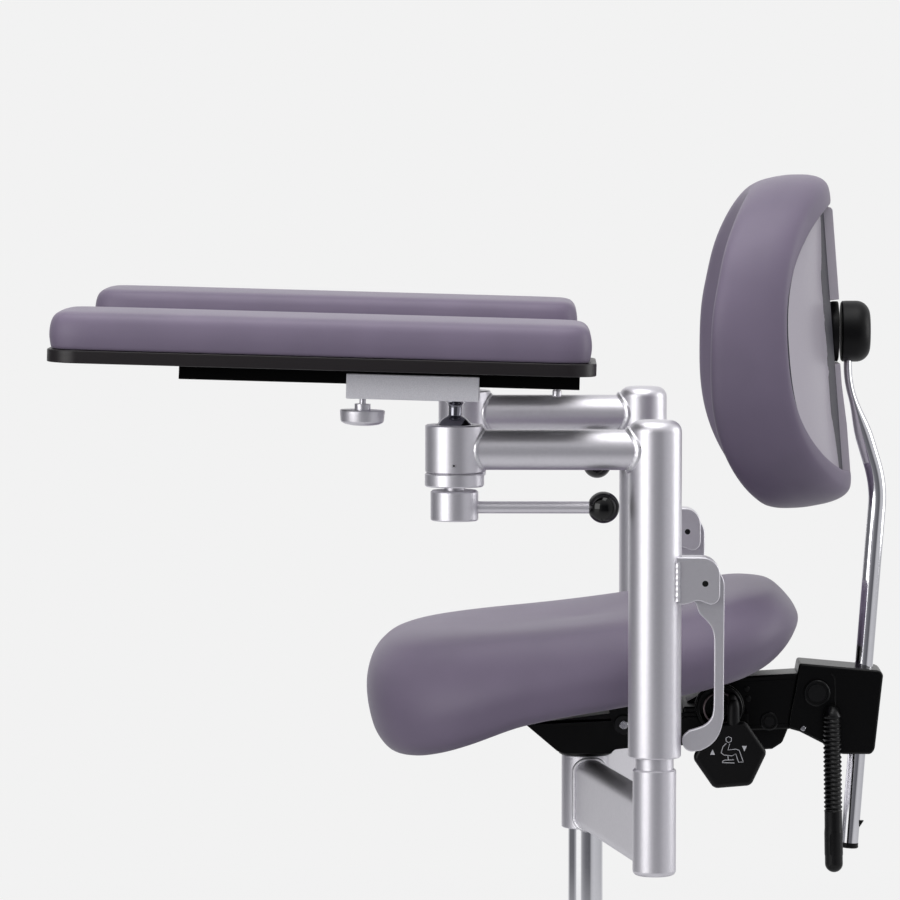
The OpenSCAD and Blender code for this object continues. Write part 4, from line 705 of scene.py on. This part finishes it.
# Back arm and pins. The arm is a channel of folded steel, powder-coated, with a keeper for its spring
# below. The seat's tilt pin is ground steel in a black collar, the bolts are blackened.
pivot, tilt_axis = (229.5, 500.5), (37, 473)
arm_side = ([(100, 459.4), (203.5, 463.5)] + arc(pivot, 20, -90, 90, 12)
            + [(203.5, 519), (146, 515.5), (100, 490.4)])
keeper = plate([(164, 464), (165, 446), (171, 441.5), (186, 442.5), (196, 449), (202, 464)], 34)
cross_bar = plate([(96, 459.4), (146, 459.4), (146, 490), (96, 490)], 123.8)
arm_lines = [swept([mm(25.1, y, z) for y, z in line], (0.5, 0.5), 6) for line in
             ([(146, 510), (170, 511.4), (206, 513.4)], [(140, 466), (170, 467.2), (202, 469.5)])]
arm_forms = [eased(plate(arm_side, 50), 2.2), eased(keeper, 2), eased(cross_bar, 2)]
shown("arm_channel", joined(*arm_forms, *arm_lines), black_enamel, "carrier", ["back_arm"])
tilt_pin = sideways([(0, -71.4), (3.6, -71.4), (4.3, -70.7), (4.3, -68.6), (5, -68.6), (5, 68.6),
                     (4.3, 68.6), (4.3, 70.7), (3.6, 71.4), (0, 71.4)], *tilt_axis, steps=40)
arm_pin = sideways(rod(5, -64.8, 64.8), 106, 465.5, steps=40)
shown("tilt_pin", joined(tilt_pin, arm_pin), bright_steel, "carrier", ["mechanism_pins"])


def bolt_head(r, low, high, y, z, side):
    """A low round head with a raised rim and a raised middle."""
    return sideways([(0, low), *wall(r, low, high, 0.4, 0.6), (r - 2, high), (r - 2.6, high - 0.9),
                     (r - 3.4, high - 0.9), (r - 4, high), (0, high)], y, z, side=side, steps=48)


heads = ((13, 30.3, 34.8, *pivot), (9, 25, 26.8, 182.5, 471.5), (3, 25, 26.6, 160, 504),
         (3, 25, 26.6, 161.5, 494))
bolts = [bolt_head(*head, side) for side in (1, -1) for head in heads]
collars = [sideways([(4.4, 68.5), (9.4, 68.5), (9.8, 69.4), (9, 70.4), (4.4, 70.4)], *tilt_axis, side=side,
                    steps=48) for side in (1, -1)]
bolt_rod = sideways(rod(6, -30.4, 30.4), *pivot)
shown("bolt_heads", joined(*bolts, *collars, bolt_rod), pin_black, "carrier")

# Rear bracket. Folded steel, powder-coated, its edges rounded by the press, with an embossed line
# beside the bolt. It holds the back bar and turns with the backrest; a bright pin stops it.
bracket_side = [(-17.5, 29.5), (62, 22.5), (66, 18.5), (57.8, -57), (54, -61.5), (24.5, -61.5),
                (13.5, -54.5), (-17, -39), (-28, -36), (-28, -27)]
bracket = eased(plate([(pivot[0] + y, pivot[1] + z) for y, z in bracket_side], 60), 2.6, 4, 24)
emboss = swept([mm(30, y, z) for y, z in (
    (243.5, 519.4), (245.8, 518), (247.4, 514), (247.8, 498), (247.8, 482), (247, 479.4), (244.6, 478.2))],
    (0.9, 0.9), 8)
shown("bracket_shell", joined(bracket, emboss), black_enamel, "back_frame", ["rear_bracket"])
stop_pins = [sideways([(0, 29), (2.6, 29), (2.6, 30.6), (1.9, 31.3), (0, 31.4)], 216, 465, side=s)
             for s in (1, -1)]
shown("bracket_stop_pins", joined(*stop_pins), bright_steel, "back_frame")

# Tilt paddle. One black moulded knob: a neck on the spring's shaft and a six-sided paddle with a
# soft edge, printed in white with a seated figure between two arrows.
paddle = Sizes(x=118, y=140, z=449.5, r=36.5, t=12, shaft_y=143.5, shaft_z=498.5)
hexagon = arc((paddle.y, paddle.z), paddle.r, 4.8, 304.8, 5)
wing = eased(plate(hexagon, paddle.t, paddle.x), 4.6, 5)
paddle_neck = swept(
    [mm(paddle.x, paddle.shaft_y, z) for z in (448, 460, 470, 480, 490, 497, 502, 504)],
    [(5.6, 6.6), (5.6, 6.6), (5.6, 6.4), (5.8, 6.2), (6, 6), (6, 6), (4.6, 4.6), (2, 2)], 24)
shaft = sideways(rod(5, 59, paddle.x), paddle.shaft_y, paddle.shaft_z)
shown("paddle_knob", joined(wing, paddle_neck, shaft), black_nylon, "paddle",
      ["tilt_paddle"])
white_ink = surfaced("screen_ink_white", ("cfd0d2", "bfc0c2"), 0, (0.5, 0.6), 1.0, 0.002)
figure = [
    [(-5, 15), (-2.4, 16.6), (0.4, 15), (0.2, 12), (-2.4, 10.6), (-4.8, 12), (-5, 15)],
    [(-4.6, 10), (-8, 6.5), (-9.6, 0.4), (-6.8, -1.6), (1, -2.4), (4.6, -0.4), (7.4, -8.6), (12, -8.4)],
    [(-1.2, 9.6), (-3, 3.4), (4.6, 4.2), (8, 3), (11.8, -7.6)],
    [(-8.6, -8), (-6.6, -6.6), (3, -6.2)], [(-8.8, -9), (3.4, -9.4)], [(-3, -2.4), (-2.6, -6.4)]]
printed = [swept([mm(0, y + 1, z + 2) for y, z in line], (0.38, 0.38), 6) for line in figure]
printed += [plate([(y - 2.4, z - 2.4 * tip), (y + 2.4, z - 2.4 * tip), (y, z + 3 * tip)], 0.6)
            for y, z, tip in ((-17, 3, 1), (14, 7, -1))]
sign_at = at(paddle.x + paddle.t / 2, paddle.y, paddle.z)
shown("paddle_sign", moved(joined(*printed), sign_at), white_ink, "paddle")

# Seat cushion. One moulded foam block on its board, high and round at the back, falling away at the
# front, under one stretched cover. The cover's edge is drawn in under the board.
seat = Sizes(l=428, w=420, front=218, z=456, rise=146, power=3.2, dish=7)
under_rows = [  # share of the length from the front, height of the underside
    (0, 0.03), (0.06, -0.037), (0.12, -0.037), (0.18, 0), (0.24, 0.058), (0.37, 0.2), (0.6, 0.33),
    (0.72, 0.395), (0.82, 0.46), (0.88, 0.51), (0.94, 0.585), (1, 0.7)]
over_rows = [  # and of the top
    (0, 0.76), (0.05, 0.752), (0.12, 0.76), (0.24, 0.782), (0.42, 0.826), (0.6, 0.894), (0.75, 0.968),
    (0.84, 1.042), (0.9, 1.068), (0.95, 1.068), (1, 0.985)]
seat_rows = [  # way, share of the half width, share of the height
    (0, 0, 0.13), (0.2, 0.6, 0.13), (0.3, 0.84, 0.125), (0.318, 0.862, 0.03), (0.335, 0.9, 0.005),
    (0.36, 0.935, 0.04), (0.4, 0.967, 0.12), (0.45, 0.989, 0.26), (0.5, 1, 0.42), (0.55, 0.997, 0.57),
    (0.6, 0.978, 0.71), (0.66, 0.936, 0.84), (0.72, 0.87, 0.935), (0.8, 0.72, 0.99), (0.9, 0.4, 1),
    (1, 0, 1)]


def squircle(u, w, power):
    """A point of a square's rim, moved to an outline between a square and a circle."""
    k = (abs(u) ** power + abs(w) ** power) ** (-1 / power)
    return u * k, w * k


def eased_share(share):
    """A share kept between 0 and 1, with a soft start and a soft end."""
    share = min(max(share, 0), 1)
    return share * share * (3 - 2 * share)


def seat_place(u, w, out, way):
    across, deep = squircle(u, w, seat.power) if out > 1e-6 else (0, 0)
    out_share, rise = follow(seat_rows, way)
    slope = 1 - 0.08 * eased_share((rise - 0.3) / 0.7)  # the sides fall away more softly than the ends
    x = across * out_share * slope * seat.w / 2
    y = seat.l / 2 - seat.front + deep * out_share * seat.l / 2
    share = (y + seat.front) / seat.l
    low = seat.z + seat.rise * follow(under_rows, share)[0]
    high = seat.z + seat.rise * follow(over_rows, share)[0]
    return Vector((x, y, low + rise * (high - low) - seat.dish * rise * (1 - out_share) ** 2))


upholstered("seat_cover", cushioned(47, seat_place), "seat", "seat_cushion")

# Backrest lever. A ribbed rubber gaiter hangs from a stub in the bracket's side and bends into a
# smooth moulded grip with a rounded end.
stub = Sizes(y=243, z=480.5, x=42, r=9.25, pitch=4.5, ribs=19)
soft_rubber = surfaced("rubber_moulded_black", ("070708", "050505"), 0, (0.28, 0.38), 1.2, 0.005,
                       Specular_IOR_Level=0.28)
knee = [(30 + 12 * sin(t), stub.z + 3 * cos(t) - 1) for t in [pi / 2 * i / 6 for i in range(6)]]
drop = [stub.z - 2 - stub.pitch / 4 * i for i in range(stub.ribs * 4 + 9)]
path = [mm(x, stub.y, z) for x, z in knee] + [mm(stub.x, stub.y, z) for z in drop]
radii = [(6.6 + 0.3 * i,) * 2 for i in range(len(knee))] + [
    (stub.r - 0.75 + 0.8 * (1, 0.4, -1, -0.4)[i % 4],) * 2 for i in range(len(drop))]
grip_top = drop[-1] + 1.5
grip_rows = ([(0, 0), (8.3, 0), (8.7, 1), (8.8, 18), (9.1, 22), (9.2, 23), (9.2, 45), (8.9, 46)]
             + arc((0, grip_top - 322.8 - 8.9), 8.9, 0, 90, 10))
handle = moved(turned([(r, -z) for r, z in grip_rows], 40), at(stub.x, stub.y, grip_top))
strip = swept([mm(stub.x + 9.3, stub.y - 3.4, grip_top - z) for z in (23.6, 25, 43, 44.6)],
              [(0.3, 0.3), (0.5, 1.6), (0.5, 1.6), (0.3, 0.3)], 10)
stub_rod = sideways(rod(4.5, 24, 34), stub.y, stub.z, steps=24)
hanging = Matrix(((1, 0, 0, 0), (0, 1, -0.018, 0.0095), (0, 0, 1, 0), (0, 0, 0, 1)))  # a degree off plumb
shown("lever_gaiter", moved(joined(swept(path, radii, 32), handle, strip, stub_rod), hanging), soft_rubber,
      "back_lever", ["back_lever"], sharp=60)

# Back bar. Chromed steel tube, bent forward over the seat and pressed flat at the top, where it
# enters the joint. A black plug closes the foot and a small stop keeps it in the bracket.
bar = Sizes(r=9, flat=4.25, wide=10, bend_r=120, knee_r=16, top=40)
bar_foot, bar_bend, bar_knee = Vector((263.96, 344)), Vector((291.59, 706.4)), Vector((260.3, 809.4))


def bent(start, corner, stop, shares):
    """Points of a soft bend between two straight runs."""
    return [start.lerp(corner, t).lerp(corner.lerp(stop, t), t) for t in shares]


def flatness(z):
    """The bar's half widths, across and along the stool."""
    share = eased_share((z - 752) / 44)
    return bar.r + (bar.wide - bar.r) * share, bar.r + (bar.flat - bar.r) * share


up, back_up = (bar_bend - bar_foot).normalized(), (bar_knee - bar_bend).normalized()
cut = bar.bend_r * tan(up.angle(back_up) / 2)
start, stop = bar_bend - up * cut, bar_bend + back_up * cut
near_knee, over_knee = bar_knee - back_up * bar.knee_r, bar_knee + Vector((0, bar.knee_r))
bar_path = ([bar_foot.lerp(start, i / 12) for i in range(12)]
            + bent(start, bar_bend, stop, [i / 16 for i in range(17)])
            + [stop.lerp(near_knee, i / 10) for i in range(1, 11)]
            + bent(near_knee, bar_knee, over_knee, [i / 8 for i in range(1, 8)])
            + [over_knee.lerp(bar_knee + Vector((0, bar.top)), i / 4) for i in range(5)])
shown("bar_tube", swept([mm(0, p.x, p.y) for p in bar_path], [flatness(p.y) for p in bar_path], 40), chrome,
      "back_bar", ["back_bar"], sharp=60)
plug = swept([mm(0, *(bar_foot - up * d)) for d in (-3, 0, 0.1, 1.6, 2.4)],
             [(r, r) for r in (9.05, 9.05, 9.3, 9.3, 8.2)], 32)
stop_at = bar_foot + up * 21
nub = moved(eased(plate([(-3, -4), (2.4, 4), (-3, 4)], 6), 0.6, 2), at(0, stop_at.x + 10.6, stop_at.y))
shown("bar_plug", joined(plug, nub), black_nylon, "back_bar")

# Back joint. A glass-filled nylon cap on the bar and a disc on the shell, with soft round edges and
# a matt skin; the dark gap between them lets the backrest tip.
joint = Sizes(z=859, r=30, cap_y=253.05, base_y=250.35, depth=29)
cap = turned([(0, 0), (joint.r - 1.5, 0), (joint.r + 0.2, 1.5), (joint.r + 0.4, 6)]
             + arc((joint.r - 13.6, joint.depth - 14), 14, 0, 90, 12) + [(0, joint.depth)])
shown("joint_housing", moved(cap, at(0, joint.cap_y, joint.z) @ turn(-90, "X")), black_nylon, "back_bar",
      ["joint_cap"])
disc = turned([(0, 0), (joint.r - 0.9, 0), (joint.r - 0.1, 0.8)]
              + arc((joint.r - 7.1, 4.6), 7, 0, 80, 8) + [(joint.r - 8, 12), (0, 12)])
shown("joint_disc", moved(disc, at(0, joint.base_y, joint.z) @ turn(90, "X")), black_nylon, "back",
      ["joint_base"])

# Backrest shell. Injection-moulded light grey ABS with a soft satin skin. A raised spine runs down
# the middle, set off by a groove on each side, and stops round the joint. A dark grey strip paints
# the shade in each groove.
back = Sizes(lean=4.5, y=241.65, z=848, h=338, w=380, t=74, hollow=48, sag=8, power=2.5)
spine = Sizes(h=10.5, w=64, near_groove=31)
shell_share = (0.95, 0.8)
grey_abs = surfaced("abs_moulded_light_grey", ("bab4bc", "b5afb8"), 0, (0.3, 0.38), 1.4, 0.006)
# A dark grey for the painted shade in the grooves beside the spine; the seam round the shell is drawn in it
# too.
groove_shade_and_seam_grey = surfaced("abs_groove_shadow_grey", ("47464d", "3c3b42"), 0, (0.4, 0.5), 1.0, 0.01)
on_shell = at(0, back.y, joint.z) @ turn(back.lean, "X")


def back_place(u, w, out, reach_x, reach_z, offset, hollow):
    """A point of the backrest, offset behind its shell's middle and drawn forward at the sides."""
    across, up = squircle(u, w, back.power) if out > 1e-6 else (0, 0)
    x = across * reach_x * back.w / 2
    z = back.z - joint.z + up * reach_z * back.h / 2
    return Vector((x, offset - hollow * (2 * x / back.w) ** 2, z))


shell_hollow = back.hollow + back.sag
shell_rows = [  # way, share of the outline, how far behind the middle
    (0, 0, -9), (0.3, 0.93, -9), (0.33, 0.99, -9), (0.36, 1, -8), (0.6, 1, -2), (0.64, 0.996, -0.5),
    (0.67, 0.985, 0), (0.7, 0.95, 0), (1, 0, 0)]


def shell_place(u, w, out, way):
    share, offset = follow(shell_rows, way)
    spot = back_place(u, w, out, share * shell_share[0], share * shell_share[1], offset, shell_hollow)
    beside = abs(spot.x) - spine.near_groove
    if offset > -1 and beside > 0:  # the skin falls into the groove beside the spine
        fade = max(0, 1 - max(0, share - 0.55) / 0.35)
        spot.y -= 3.2 * min(beside / 12, 1) * fade
    return spot


def spine_form(length, heights, flip):
    """Half of the spine, from the joint outwards. heights gives its rise at shares of its length."""
    outline = [(-6, 0)] + [(h * spine.h, z * length) for z, h in heights] + [(-6, length)]
    return moved(eased(plate(outline, spine.w), 2.2, 4, 25), Matrix.Diagonal((1, 1, flip, 1)))


top_len = shell_share[1] * back.h / 2 + back.z - joint.z - 1
low_len = shell_share[1] * back.h / 2 - back.z + joint.z - 1
spine_up = spine_form(top_len, [(0.255, -0.5), (0.26, 1), (0.98, 1), (1, 0.85)], 1)
spine_down = spine_form(
    low_len, [(0.212, -0.5), (0.217, 0.66), (0.36, 0.66), (0.64, 0.86), (0.98, 0.86), (1, 0.74)], -1)
shown("back_panel", moved(cushioned(39, shell_place), on_shell), grey_abs, "back",
      ["back_shell"])
shown("back_spine", moved(joined(spine_up, spine_down), on_shell), grey_abs, "back")
# Painted shade: a dark grey strip lies in each groove beside the spine.
groove = ((31, 1.6), (33.5, 1.2), (44, -5.6), (46, -6.4), (44, -7.4), (31, -2))
groove_shade_strips = [moved(plate([(s * x, y) for x, y in groove], top_len + low_len, (top_len - low_len) / 2), level)
           for s in (1, -1)]
shown("back_groove_shade_strips", moved(joined(*groove_shade_strips), on_shell), groove_shade_and_seam_grey, "back")

# Backrest cushion. Deep moulded foam with a stretched leatherette cover that wraps over the shell's
# edge and ends in a seam round it. Its sides come forward round the sitter's back.
cushion_rows = [  # way, shares of the half width and half height, share of the depth from the front
    (0, 0, 0, 0.8), (0.22, 0.8, 0.66, 0.8), (0.29, 0.948, 0.798, 0.82), (0.3, 0.951, 0.801, 0.97),
    (0.315, 0.955, 0.82, 1.0), (0.335, 0.963, 0.87, 1.0), (0.36, 0.974, 0.925, 0.98),
    (0.4, 0.986, 0.965, 0.91), (0.46, 0.996, 0.99, 0.78), (0.52, 1, 0.999, 0.62), (0.58, 1, 1, 0.45),
    (0.64, 0.993, 0.987, 0.24), (0.68, 0.978, 0.968, 0.12), (0.72, 0.952, 0.945, 0.05),
    (0.76, 0.915, 0.91, 0.012), (0.81, 0.84, 0.84, 0.01), (0.88, 0.62, 0.62, 0.035), (0.95, 0.3, 0.3, 0.05),
    (1, 0, 0, 0.052)]
front_rows = [  # height, from -1 at the bottom to 1 at the top, and how far back the front stands there
    (-1, 0), (-0.88, 0), (-0.76, -3), (-0.58, -6), (-0.4, -7), (-0.22, -6), (0, -3), (0.25, 1), (0.43, 5),
    (0.6, 7), (0.84, 10), (1, 11)]


def backrest_place(u, w, out, way):
    reach_x, reach_z, depth = follow(cushion_rows, way)
    offset = depth * spine.h - (1 - depth) * (back.t + back.sag)
    spot = back_place(u, w, out, reach_x, reach_z * (1 if w > 0 else 0.965 - 0.035 * depth), offset,
                      back.hollow + (back.sag + spine.h) * depth)
    height = (spot.z - back.z + joint.z) / (back.h / 2)
    spot.y += follow(front_rows, height)[0] * (1 - depth)
    return spot


upholstered("back_cover", moved(cushioned(47, backrest_place), on_shell), "back", "back_cushion")
seam_share = [share * 0.998 for share in shell_share]
seam = [back_place(cos(a), sin(a), 1, *seam_share, 0.3, shell_hollow) * MM
        for a in [tau * i / 96 for i in range(96)]]
shown("back_seam", moved(swept(seam, (1.1, 1.1), 8, True), on_shell), groove_shade_and_seam_grey, "back")
